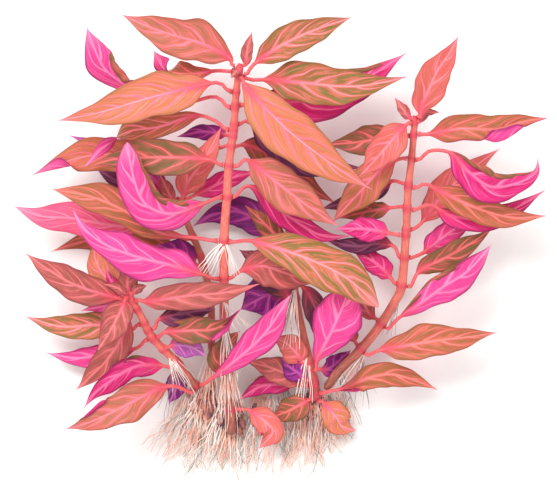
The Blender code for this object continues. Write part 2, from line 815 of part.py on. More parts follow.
def build_leaf(name, spec, material, collection, buried=False):
    route = leaf_route(spec, buried)
    length = sum((end - start).length for start, end in zip(route, route[1:]))
    sides = 4 if buried else 8
    fewest = 3 if buried else 4
    blade_rings = min(max(round(length / RING_STEP), fewest), 6)
    stalk = spec["stalk"] / length
    shares = [0.0, stalk * 0.55] if spec["stalk"] > 3 else [0.0]
    shares += [stalk + (1 - stalk) * (i + 0.15) / blade_rings for i in range(blade_rings)]
    rings = [leaf_ring(spec, route, length, share, sides, share > stalk) for share in shares]
    tip = route[-1].copy()
    tip.z = max(tip.z, BLADE_THICKNESS / 4)
    return mesh_object(name, bent_cylinder(rings, tip), material, collection)


def make_material(name, colour, roughness):
    material = bpy.data.materials.new(name)
    material.use_nodes = True
    shader = material.node_tree.nodes["Principled BSDF"]
    shader.inputs["Base Color"].default_value = (*colour, 1)
    shader.inputs["Roughness"].default_value = roughness
    shader.inputs["Metallic"].default_value = 0
    return material


def build_tube(name, route, extra, material, collection):
    # A tube through (x, y, z, radius) points, made a mesh with its caps welded.
    curve = bpy.data.curves.new(name, "CURVE")
    curve.dimensions = "3D"
    curve.bevel_depth = MM
    curve.bevel_resolution = (STEM_SIDES - 4) // 2
    curve.use_fill_caps = True
    spline = curve.splines.new("POLY")
    spline.points.add(len(route) - 1)
    for point, place in zip(spline.points, route):
        point.co = (*(place.xyz * MM), 1)
        point.radius = place.w + extra
    tube = bpy.data.objects.new(name, curve)
    collection.objects.link(tube)
    bpy.context.view_layer.update()
    mesh = bpy.data.meshes.new_from_object(tube.evaluated_get(bpy.context.evaluated_depsgraph_get()))
    bm = bmesh.new()
    bm.from_mesh(mesh)
    bmesh.ops.remove_doubles(bm, verts=bm.verts, dist=1e-6)
    bmesh.ops.recalc_face_normals(bm, faces=bm.faces)
    bpy.data.objects.remove(tube)
    bpy.data.meshes.remove(mesh)
    return mesh_object(name, bm, material, collection)


def combine(target, other, operation):
    boolean = target.modifiers.new(other.name, "BOOLEAN")
    boolean.operation = operation
    boolean.solver = "EXACT"
    boolean.object = other


def build_stem(name, leaves, material, collection):
    # Rings every few millimetres, with a swelling wherever a leaf grows.
    route = STEM_ROUTES[name]
    length = sum((end - start).xyz.length for start, end in zip(route, route[1:]))
    count = round(length / STEM_RING_STEP) + 1
    rings = []
    for index in range(count):
        share = index / (count - 1)
        ring = route_at(route, share)
        near = min((ring.xyz - spec["points"][0]).length for spec in leaves)
        if near < STEM_RING_STEP / 2 and 0 < index:
            ring.w *= NODE_SWELL
        rings.append(ring)
    return build_tube(name, rings, 0, material, collection)


def build_roots(material, collection, cutters):
    # Flat-bottomed crowns, joined by tangled strands, with a fan of tapering strands from each.
    pieces = []
    for name, (centre, size) in ROOT_CROWNS.items():
        bm = bmesh.new()
        bmesh.ops.create_uvsphere(bm, u_segments=10, v_segments=6, radius=1)
        for vertex in bm.verts:
            vertex.co = (centre + vertex.co * size) * MM
        whole = bm.verts[:] + bm.edges[:] + bm.faces[:]
        bmesh.ops.bisect_plane(bm, geom=whole, plane_co=(0, 0, 0), plane_no=UP, clear_inner=True)
        bmesh.ops.holes_fill(bm, edges=bm.edges[:], sides=0)
        bmesh.ops.recalc_face_normals(bm, faces=bm.faces)
        pieces.append(mesh_object(f"root_crown_{name}", bm, material, cutters))
    strands = []
    for name, tips in ROOT_FANS.items():
        centre, size = ROOT_CROWNS[name]
        for number, (x, y, sway) in enumerate(tips):
            tip = Vector((x, y, ROOT_THIN * 0.6))
            start = centre + Vector((0, 0, size.z * 0.45))
            aside = (tip - start).cross(UP).normalized() * sway
            lift = 0.25 * (number % 3)
            points = [start, start.lerp(tip, 0.4) + aside, start.lerp(tip, 0.75) - aside * 0.6, tip]
            points[1].z = 1.9 + lift
            points[2].z = 1.2 + lift
            strands.append(points)
    for first, second in ROOT_TANGLES:
        start, end = ROOT_CROWNS[first][0] + UP * 2.2, ROOT_CROWNS[second][0] + UP * 2.2
        strands.append([start, start.lerp(end, 0.5) + Vector((0, -2, 0)), end])
    for number, points in enumerate(strands):
        route = smooth_route(points, 31)
        rings = []
        for ring in range(ROOT_RINGS):
            share = ring / ROOT_RINGS
            along = direction_at(route, share)
            across = UP.cross(along).normalized()
            radius = ROOT_THICK + (ROOT_THIN - ROOT_THICK) * share
            upward = along.cross(across)
            turns = [2 * math.pi * (corner + 0.25) / ROOT_SIDES for corner in range(ROOT_SIDES)]
            around = [across * math.cos(turn) + upward * math.sin(turn) for turn in turns]
            rings.append([route_at(route, share) + outward * radius for outward in around])
        strand = mesh_object(f"root_strand_{number}", bent_cylinder(rings, route[-1]), material, cutters)
        pieces.append(strand)
    mass = pieces.pop(1)
    mass.name = "root_mass"
    cutters.objects.unlink(mass)
    collection.objects.link(mass)
    for piece in pieces:
        combine(mass, piece, "UNION")
    return mass


def new_collection(name, hidden=False):
    collection = bpy.data.collections.new(name)
    bpy.context.scene.collection.children.link(collection)
    collection.hide_render = hidden
    return collection


def hide(cutter):
    cutter.hide_render = True
    cutter.display_type = "WIRE"


def main():
    for old in list(bpy.data.objects):
        bpy.data.objects.remove(old)
    plant = new_collection("rosanervig_scarlet_temple")
    cutters = new_collection("cutters", hidden=True)
    upper = make_material("leaf_upper_side", (0.62, 0.19, 0.10), 0.55)
    under = make_material("leaf_underside", (0.85, 0.06, 0.28), 0.5)
    bark = make_material("stem", (0.70, 0.18, 0.10), 0.45)
    root = make_material("root", (0.80, 0.62, 0.50), 0.7)
    for name, spec in LEAVES.items():
        build_leaf(f"leaf_{name}", spec, under if spec["roll"][1] > 90 else upper, plant)
    for name in STEMS:
        growing = [spec for spec in [*LEAVES.values(), *SMALL_LEAVES.values()] if spec["stem"] == name]
        stem = build_stem(name, growing, bark, plant)
        for leaf_name, spec in SMALL_LEAVES.items():
            if spec["stem"] != name:
                continue
            piece = build_leaf(f"small_{leaf_name}", spec, upper, cutters, buried=True)
            combine(stem, piece, "UNION")
    mass = build_roots(root, plant, cutters)
    for name in STEMS:
        base = [Vector((*point.xyz, point.w)) for point in STEM_ROUTES[name][:40:4]]
        hollow = build_tube(f"{name}_hollow", base, GAP + 0.5, root, cutters)
        combine(mass, hollow, "DIFFERENCE")
    for piece in cutters.objects:
        hide(piece)


main()
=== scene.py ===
import math
import random

import bmesh
import bpy
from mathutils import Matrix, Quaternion, Vector


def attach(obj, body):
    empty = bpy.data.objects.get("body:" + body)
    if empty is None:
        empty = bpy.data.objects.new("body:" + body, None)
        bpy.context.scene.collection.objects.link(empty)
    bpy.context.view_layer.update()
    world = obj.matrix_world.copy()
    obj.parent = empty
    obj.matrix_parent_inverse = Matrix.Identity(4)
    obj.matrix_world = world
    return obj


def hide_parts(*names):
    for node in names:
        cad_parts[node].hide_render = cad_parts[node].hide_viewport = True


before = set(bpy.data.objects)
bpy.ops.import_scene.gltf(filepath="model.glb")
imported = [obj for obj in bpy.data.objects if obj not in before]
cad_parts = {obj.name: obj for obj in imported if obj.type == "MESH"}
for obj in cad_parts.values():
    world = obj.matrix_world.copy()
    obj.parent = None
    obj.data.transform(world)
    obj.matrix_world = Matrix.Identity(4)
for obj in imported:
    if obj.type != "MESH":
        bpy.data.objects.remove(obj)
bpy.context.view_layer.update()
mm = 0.001
up = Vector((0, 0, 1))
print("frame loaded")

# Everything in the tables is in millimetres: x right, y towards the shoot tips, z up off the table.
# Each stem from its base to its tip: x, y, z and its radius.
stems = {
    "stem_main": [
        (-19.6, -73.6, 7.6, 2.1), (-20.2, -61, 9.6, 2.2), (-21.6, -45, 14, 2.1), (-22.4, -25, 21.5, 1.9),
        (-22.4, -10.8, 27.5, 1.8), (-22.4, 4.4, 32, 1.8), (-21.2, 22, 36, 1.7), (-20.4, 34.8, 38.5, 1.6),
        (-18.4, 49.2, 40, 1.5), (-17.4, 64, 41.5, 1.4), (-15.8, 75, 43, 1.3),
    ],
    "stem_right": [
        (18.4, -55.2, 11, 1.7), (24, -47.5, 14, 1.8), (32.4, -39.2, 17, 1.9), (40.4, -29.2, 20, 1.9),
        (46, -20, 23, 1.8), (48.8, -13.2, 25.5, 1.8), (50.4, 6.8, 29, 1.6), (51.2, 24.8, 31.5, 1.5),
        (52.6, 37.6, 33, 1.4), (54, 54.4, 34.5, 1.2),
    ],
    "stem_left": [
        (-33.2, -55.2, 8.4, 1.9), (-42, -44, 15, 1.7), (-51.2, -34.4, 21, 1.6), (-56, -25.2, 25, 1.4),
        (-61, -16.4, 27, 1.2),
    ],
    "stem_middle": [
        (14.8, -60, 7.8, 2.0), (12.4, -47.2, 12.5, 1.9), (9.2, -33.2, 15, 1.7), (6.4, -19.2, 16.5, 1.6),
        (4.6, -3, 18, 1.5), (3.2, 13, 19, 1.3),
    ],
    "stem_back": [
        (-27, -56, 5.2, 1.5), (-27.6, -40, 8, 1.5), (-28, -20, 12, 1.5), (-31.5, -3, 15.5, 1.4),
        (-37, 11, 18.5, 1.3), (-41.4, 22, 21, 1.2),
    ],
}

turned = (180, 180, 180)  # pink underside up
# What a leaf has when its row says nothing else.
# roll: degrees about the midrib at its start, middle and end. curl: how far each margin bends, in degrees.
# wave: its height, how many along the blade, and its shift. stalk: the petiole's length.
# widest: where the blade is broadest. lean: how much broader side 0 is. point: 0 a rounded tip, 1 a long one.
# folds: margins that are rolled over and show the other face: side (0 or 1), the share of the half width
# where the fold starts at its two ends, its final direction in degrees, and where along the blade it begins
# and stops. outline: swellings of one edge: side, amount, waves and shift.
plainLeaf = {
    "roll": (0, 0, 0), "curl": (0, 0), "wave": (0.5, 1.3, 0.0), "stalk": 6.0, "widest": 0.42, "lean": 0.0,
    "point": 1.0, "folds": (), "outline": (),
}


def leaf(upper, under, width, points, **changes):
    points = [Vector(point) for point in points]
    return {**plainLeaf, "faces": (upper, under), "width": width, "points": points, **changes}


# Each leaf's finishes for its upper and its under face, its greatest width, and its midrib from the stem to
# its tip. A name starts with the stem's. The order of the rows sets how each leaf's edge and noise vary.
# Faces with a plum or violet look, here and among the small leaves, carry painted shade: their colour is as
# dark as the shade under the leaves above them.
leaves = {
    "main_1_left": leaf("salmonOlive", "hotPink", 16.5, [(-17, 74, 42), (-20.5, 77.6, 43.5),
        (-31, 82.8, 46), (-41.3, 85.8, 46), (-52, 89.4, 45), (-63, 94.6, 41)], roll=(8, -6, 0), stalk=2,
        outline=[(1, 0.14, 2.5, 0.4)]),
    "main_1_right": leaf("tanOlive", "hotPink", 13, [(-15, 71.6, 41), (-9.8, 75.2, 43), (1.3, 82.6, 46),
        (14.7, 88.6, 45), (28.9, 93.5, 40)], roll=(-8, 6, 0)),
    "main_1b_left": leaf("brownStreak", "hotPink", 11.5, [(-17, 71.6, 40), (-26, 72.2, 39), (-36, 71, 36),
        (-45.5, 72.8, 34), (-50.4, 80.4, 33)], roll=(0, 30, 165), widest=0.62),
    "main_1b_right": leaf("tanOlive", "magenta", 17, [(-15, 69.6, 40), (-11.8, 68.6, 40), (-4, 68.6, 40),
        (5, 67.8, 41), (14, 66.9, 41), (25, 66, 40), (36, 66.7, 38.5), (50.8, 69.9, 36)], roll=(0, -3, 3),
        stalk=9, widest=0.34),
    "main_2_left": leaf("orangeTan", "hotPink", 17.6, [(-18, 64, 41), (-24, 67.2, 44), (-30.8, 66.4, 46),
        (-52, 61.2, 46), (-72, 55.4, 44), (-88.8, 52.4, 39)], roll=(0, 8, -10), stalk=10, widest=0.36,
        outline=[(1, 0.12, 3.6, 0.1), (0, 0.08, 2.5, 0.6)]),
    "main_2_right": leaf("orangeTan", "hotPink", 19.4, [(-16.6, 69.4, 42), (-13, 65, 48), (2.8, 48.6, 52),
        (20, 35.2, 50), (36.4, 24.8, 44)], roll=(0, 10, 0), stalk=3, lean=-0.06),
    "main_3_left": leaf("oliveBrown", "hotPink", 12.5, [(-18, 57, 40), (-26, 62, 37), (-38, 59.6, 34),
        (-52, 61.6, 33), (-62, 67, 34), (-69.5, 72.8, 36), (-73, 78.8, 38), (-77.2, 89.6, 38)],
        roll=(0, 140, 190), stalk=18, widest=0.7, folds=[(0, 0.5, 0.85, -172, 0.45, 0.95)]),
    "main_3_right": leaf("oliveBrown", "magenta", 19, [(-16, 58.8, 40), (-7.2, 58.8, 35), (4, 60, 31),
        (18, 62, 28), (36, 70.4, 28), (50.4, 79.6, 30)], roll=(180, 170, 180), curl=(0, -60),
        folds=[(1, 0.7, 0.6, -172, 0.5, 0.95)], outline=[(1, 0.15, 2.1, 0.2)]),
    "main_4_left": leaf("tanOlive", "hotPink", 10.5, [(-19, 49, 39), (-26, 52.4, 37), (-34, 54.4, 36),
        (-48, 50, 34), (-60.8, 48, 32), (-70.8, 41.6, 30), (-78, 34, 28)], roll=(0, 20, 175), stalk=10,
        widest=0.5),
    "main_4_right": leaf("oliveBrown", "paintedShadeUnderside", 15, [(-18, 50.4, 39), (-12.8, 52, 36), (0, 43.4, 28),
        (16, 35, 22), (33.2, 34, 18)], roll=turned),
    "main_5_left": leaf("orangeTan", "hotPink", 14, [(-20, 41.6, 39), (-26.4, 41, 28), (-40, 39, 22),
        (-56, 39, 20), (-74, 39, 20), (-88, 35.6, 21), (-99.2, 31.2, 21)], roll=(0, 0, 10), stalk=12,
        widest=0.6, folds=[(0, 0.3, 0.2, 172, 0.74, 1.2)],
        outline=[(0, 0.12, 2.0, 0.1), (1, 0.15, 2.3, 0.5)]),
    "main_6_left": leaf("oliveBrown", "magenta", 15, [(-20.6, 35, 38.5), (-28, 36.8, 40), (-40, 37.6, 40),
        (-56, 37.6, 38), (-67.2, 36.8, 35), (-74.8, 34.8, 32)], roll=(0, 6, 0), stalk=5),
    "main_6_right": leaf("salmonOlive", "hotPink", 16.5, [(-20, 34.8, 38.5), (-13.6, 36.8, 40),
        (-7.2, 32.4, 40), (4, 23.6, 39), (14.4, 16, 37), (23.2, 10.4, 35)], roll=(0, 6, 0)),
    "main_7_left": leaf("oliveBrown", "hotPink", 15, [(-21.4, 21.6, 36), (-32, 18.8, 40), (-43.2, 15.2, 43),
        (-53.2, 18.8, 46), (-58, 28.8, 47), (-60.8, 43.6, 45)], roll=(150, 180, 180), curl=(-70, 0),
        widest=0.45, point=0.0, folds=[(0, 0.52, 0.8, -172, -0.12, 0.9)]),
    "main_7_right": leaf("oliveBrown", "magenta", 10.5, [(-21.2, 22.4, 36), (-14, 26, 34),
        (-8.8, 24.4, 32.5), (2, 15.2, 28), (16, 6.8, 25), (28, 6.4, 24)], roll=(120, 165, 175)),
    "main_8_left": leaf("brownStreak", "hotPink", 13, [(-22.4, 4.4, 32), (-36, 6, 34), (-48.8, 8, 35),
        (-62, 16.4, 35), (-75.2, 22, 34), (-91.2, 25.2, 32)], roll=(0, 10, 0), stalk=9, widest=0.6,
        outline=[(0, 0.12, 2.2, 0.5), (1, 0.15, 2.0, 0.9)]),
    "main_8_right": leaf("tanOlive", "hotPink", 17.5, [(-22.4, 4.8, 32), (-12.8, 4.6, 38), (-6, 3, 41),
        (10, -2.2, 43), (26, -10, 42), (39.6, -22, 38)], roll=(0, 5, 0), stalk=8, widest=0.5, point=0.3),
    "main_9_left": leaf("oliveBrown", "hotPink", 15.6, [(-22.4, -10.8, 27.5), (-32, -8.8, 34),
        (-44, -5.2, 38), (-58, -1.6, 41), (-70, 3.2, 43), (-78, 9.6, 44), (-82.4, 16.8, 43)], roll=turned,
        wave=(1.0, 1.6, 0.6), stalk=8, outline=[(0, 0.3, 1.7, 0.1), (1, 0.22, 1.9, 0.45)]),
    "right_0_up": leaf("salmon", "hotPink", 13, [(54, 54, 34.5), (56.8, 59, 37.5), (59, 64, 38.5),
        (62.6, 72, 39.5), (68, 80, 40), (71.2, 86, 39.5)], roll=(0, 5, 0), stalk=1),
    "right_1_left": leaf("salmon", "hotPink", 13, [(53.6, 51.6, 34), (48, 48.6, 38), (43.2, 42.8, 40),
        (37.2, 36, 39), (31.6, 30, 37)], roll=(0, 6, 0), stalk=2),
    "right_1_right": leaf("brownStreak", "hotPink", 12.6, [(53.4, 46.8, 34), (60, 47.2, 35), (72, 49.2, 36),
        (86, 49, 36), (96.8, 52, 35), (107, 53.6, 34)], roll=(0, -8, 0), curl=(0, 50), stalk=3,
        folds=[(1, 0.5, 0.5, 172, 0.43, 0.72)], outline=[(0, 0.12, 1.6, 0.2), (1, 0.15, 1.7, 0.0)]),
    "right_1_back": leaf("oliveBrown", "magenta", 12, [(53, 46, 33), (44, 46, 29), (31.2, 44, 26),
        (18, 43, 24)], stalk=2),
    "right_2_left": leaf("orangeTan", "hotPink", 14, [(52.4, 37.2, 33), (44.8, 36, 31), (39.2, 32, 30),
        (32, 24, 27), (20.8, 12, 23)], roll=(0, 6, 0), stalk=4),
    "right_2_right": leaf("oliveBrown", "magenta", 13.6, [(52.8, 37.6, 33), (60, 40.4, 36), (68, 39.4, 39),
        (75, 32, 40), (84, 26, 40), (94.4, 27.4, 40), (101.6, 31.4, 39), (102.8, 37.2, 38)],
        roll=(150, 180, 180), curl=(0, -70), stalk=14, folds=[(1, 0.62, 0.7, -172, -0.12, 0.9)],
        outline=[(1, 0.2, 2.2, 0.3)]),
    "right_3_right": leaf("brownStreak", "hotPink", 11.8, [(51.2, 26, 31.5), (58, 27.2, 33), (64, 24.4, 33),
        (78, 17.8, 32.5), (92.8, 13.8, 31), (106.8, 14.4, 29)], roll=(0, 8, 0), stalk=7),
    "right_4_right": leaf("oliveBrown", "magenta", 10.5, [(51, 16.8, 30), (60, 18.8, 29.5),
        (68.8, 14.4, 27.5), (84, 13.2, 25.5), (96, 18.4, 25), (106, 24.8, 26)], roll=(140, 170, 180),
        stalk=8, folds=[(1, 0.7, 0.7, -170, -0.12, 0.35)]),
    "right_5_left": leaf("brownStreak", "magenta", 10, [(50.4, 6.8, 29), (43.2, 7.6, 30), (34, 9.2, 30),
        (22.6, 9.2, 29)], roll=turned, stalk=4),
    "right_5_right": leaf("salmon", "hotPink", 13, [(50.4, 8.4, 29), (57, 12, 24), (66, 23.6, 12),
        (77, 33, 2.5), (83, 37.6, 0), (89.2, 42, 0)]),
    "right_6_right": leaf("brownStreak", "hotPink", 10.5, [(49.8, -2, 27.5), (58, 0, 23), (64.8, 5.2, 18),
        (72, 10.4, 15), (80, 15.2, 14)], roll=(180, 175, 180)),
    "right_7_left": leaf("roseBrown", "magenta", 9, [(48.6, -13.6, 25.5), (43.8, -9.6, 22),
        (38.4, -4.4, 18), (28.8, 1.2, 14)], roll=(160, 180, 180), stalk=3),
    "right_7_right": leaf("oliveBrown", "magenta", 10, [(48.8, -13.2, 25.5), (56, -7.6, 26), (66, -2.4, 25),
        (76.8, 3.6, 22), (85.6, 9.6, 19)], roll=(0, 10, 0)),
    "right_8_right": leaf("oliveBrown", "hotPink", 12.5, [(40.6, -29, 20), (48, -26, 24), (56, -20.8, 27),
        (65.2, -14, 30), (75.2, -7.4, 32), (84.8, 3.2, 31)], roll=turned, curl=(0, -60),
        wave=(1.0, 1.6, 0.5), widest=0.56, folds=[(1, 0.62, 0.7, -172, -0.12, 0.6)],
        outline=[(0, 0.12, 2.1, 0.1)]),
    "right_9_right": leaf("brownStreak", "hotPink", 13.5, [(32.4, -39.2, 17), (40.8, -39.2, 21),
        (50, -37.6, 23), (64, -35.4, 23), (76.8, -34, 21), (87.2, -32.4, 18)], roll=(0, -6, 0),
        outline=[(0, 0.15, 2.2, 0.3)]),
    "middle_0_right": leaf("brownStreak", "magenta", 10.5, [(14, -56.6, 9.2), (19, -56.2, 14),
        (26, -54.8, 16), (35.2, -50.8, 17), (44.8, -49.2, 16), (55.2, -52, 13), (63.6, -55.6, 9)],
        roll=(60, 0, -10), stalk=8, folds=[(1, 0.6, 0.6, 170, -0.12, 0.16)]),
    "middle_1_up": leaf("roseBrown", "hotPink", 18.5, [(12.5, -47.4, 12.5), (15.2, -42.4, 20),
        (20, -33.2, 27), (24.8, -22.4, 31), (28, -13.2, 31)], roll=turned, stalk=3, widest=0.6, point=0.3,
        outline=[(0, 0.1, 1.4, 0.5), (1, 0.12, 1.5, 0.2)]),
    "middle_1_left": leaf("roseBrown", "magenta", 11, [(13, -52.8, 11), (6.8, -51.6, 13), (-2, -47.2, 14),
        (-13.6, -44, 13)], stalk=2),
    "middle_5_left": leaf("paintedShadePlum", "paintedShadeViolet", 13, [(4.2, 6.4, 18.4), (-6, 10.8, 12), (-16, 16, 9),
        (-26, 15.2, 7), (-35.2, 10.4, 6)], roll=turned, stalk=3),
    "left_0_left": leaf("roseBrown", "hotPink", 13, [(-61, -17.6, 27), (-70, -17.2, 28), (-83.2, -12.6, 29),
        (-94, -6.2, 28), (-102, -0.4, 26)], roll=(0, -6, 0), stalk=2),
    "left_0_right": leaf("roseBrown", "magenta", 11.5, [(-59, -20, 26.5), (-52, -19.6, 31),
        (-36, -17.4, 35), (-20.8, -16, 36), (-8, -12.8, 34)], roll=(0, 6, 0), stalk=2),
    "left_0_front": leaf("roseBrown", "hotPink", 12, [(-60.4, -17.6, 27), (-63.2, -22.4, 33),
        (-67.6, -31.2, 36), (-72.8, -39.2, 35)], stalk=1.5),
    "left_1_front": leaf("roseBrown", "magenta", 12.5, [(-57.4, -23, 25), (-61, -29, 25.5), (-65, -37, 24),
        (-70.5, -44.5, 19), (-76.8, -50.6, 15), (-82.4, -55.6, 12)], stalk=3),
    "left_1_left": leaf("tanOlive", "magenta", 11, [(-54.4, -28.4, 23.5), (-60.8, -31.6, 20),
        (-72.8, -29.4, 17), (-88, -30, 15), (-102.8, -26, 13)]),
    "left_1_right": leaf("paintedShadePlum", "paintedShadeUnderside", 10, [(-53, -31.4, 22), (-48, -26.8, 25), (-38, -24.6, 26.4),
        (-25.8, -22.8, 25.6)], roll=(120, 150, 160), stalk=4),
    "left_2_left": leaf("oliveBrown", "hotPink", 9.5, [(-51.6, -34, 21), (-58, -38.8, 18), (-68, -40.6, 13),
        (-82, -42.8, 9), (-94.8, -40.8, 6)], roll=turned, curl=(-50, 0)),
    "left_2_right": leaf("oliveBrown", "hotPink", 11, [(-50.8, -34.8, 21), (-45.6, -32, 26),
        (-35.2, -31.4, 29), (-25.2, -30.4, 30), (-15.6, -22.8, 30)], roll=(0, 0, 60), stalk=4,
        folds=[(1, 0.62, 0.25, 172, 0.5, 1.2)]),
    "left_3_left": leaf("oliveBrown", "magenta", 10, [(-42.4, -43.8, 15), (-48, -45.6, 18), (-58, -46, 22),
        (-67.2, -51.2, 23), (-74, -56.4, 22), (-78.8, -62.8, 19)], roll=turned, curl=(-50, 0), stalk=3,
        folds=[(0, 0.75, 0.75, -170, -0.12, 0.3)], outline=[(1, 0.25, 1.6, 0.1)]),
    "left_4_left": leaf("salmonOlive", "magenta", 14, [(-34, -54.6, 9), (-42, -54, 18), (-48, -54.6, 22),
        (-56, -58.4, 26), (-67.2, -64.2, 28), (-76.8, -68.4, 26), (-86, -71.2, 22)], roll=(0, 5, 0),
        wave=(1.2, 1.5, 2.0), stalk=14, folds=[(1, 0.75, 0.75, 170, 0.5, 0.75)],
        outline=[(0, 0.2, 2.4, 0.2), (1, 0.2, 2.1, 0.6)]),
    "left_4_right": leaf("roseBrown", "hotPink", 12, [(-33.6, -54, 9.4), (-24.8, -48.8, 20), (-16, -42, 25),
        (-5.6, -32, 29), (4.4, -16.8, 31)], roll=turned, widest=0.6),
    "left_0_back": leaf("orangeTan", "magenta", 11, [(-60, -17.2, 27), (-64.5, -13.8, 18),
        (-70.5, -9.8, 14.5), (-74.4, -3.2, 11), (-75, 4.8, 7)], stalk=3),
    "back_0_up": leaf("salmon", "hotPink", 12, [(-41.4, 21, 21), (-36.8, 28, 28), (-30, 37.6, 33.5),
        (-23.2, 50, 34.5)], roll=(0, -10, 0), stalk=1),
    "back_0_left": leaf("paintedShadeViolet", "paintedShadeViolet", 11, [(-41, 18.8, 20.2), (-46, 24, 20), (-56, 33.6, 14),
        (-70, 41.6, 9), (-85.2, 47.2, 4)]),
    "back_1_left": leaf("paintedShadePlum", "paintedShadeUnderside", 12, [(-39.6, 18, 20), (-54, 24.8, 8), (-65, 28.6, 0.5),
        (-70, 31, 0), (-75.2, 34.8, 0)], roll=turned),
    "back_2_left": leaf("brownStreak", "salmonPink", 13, [(-34.6, 6, 17), (-52, 9.2, 15), (-68, 10.8, 16),
        (-84, 13.6, 18.5), (-96, 14.4, 20), (-107, 18.3, 20)], roll=turned, widest=0.62),
    "back_3_left": leaf("brownStreak", "magenta", 12.5, [(-32, -1.6, 15.6), (-40, -0.4, 10),
        (-52, 2.2, 6.5), (-68, 4, 3), (-80, 4.2, 0), (-92.8, 0.2, 0)]),
}

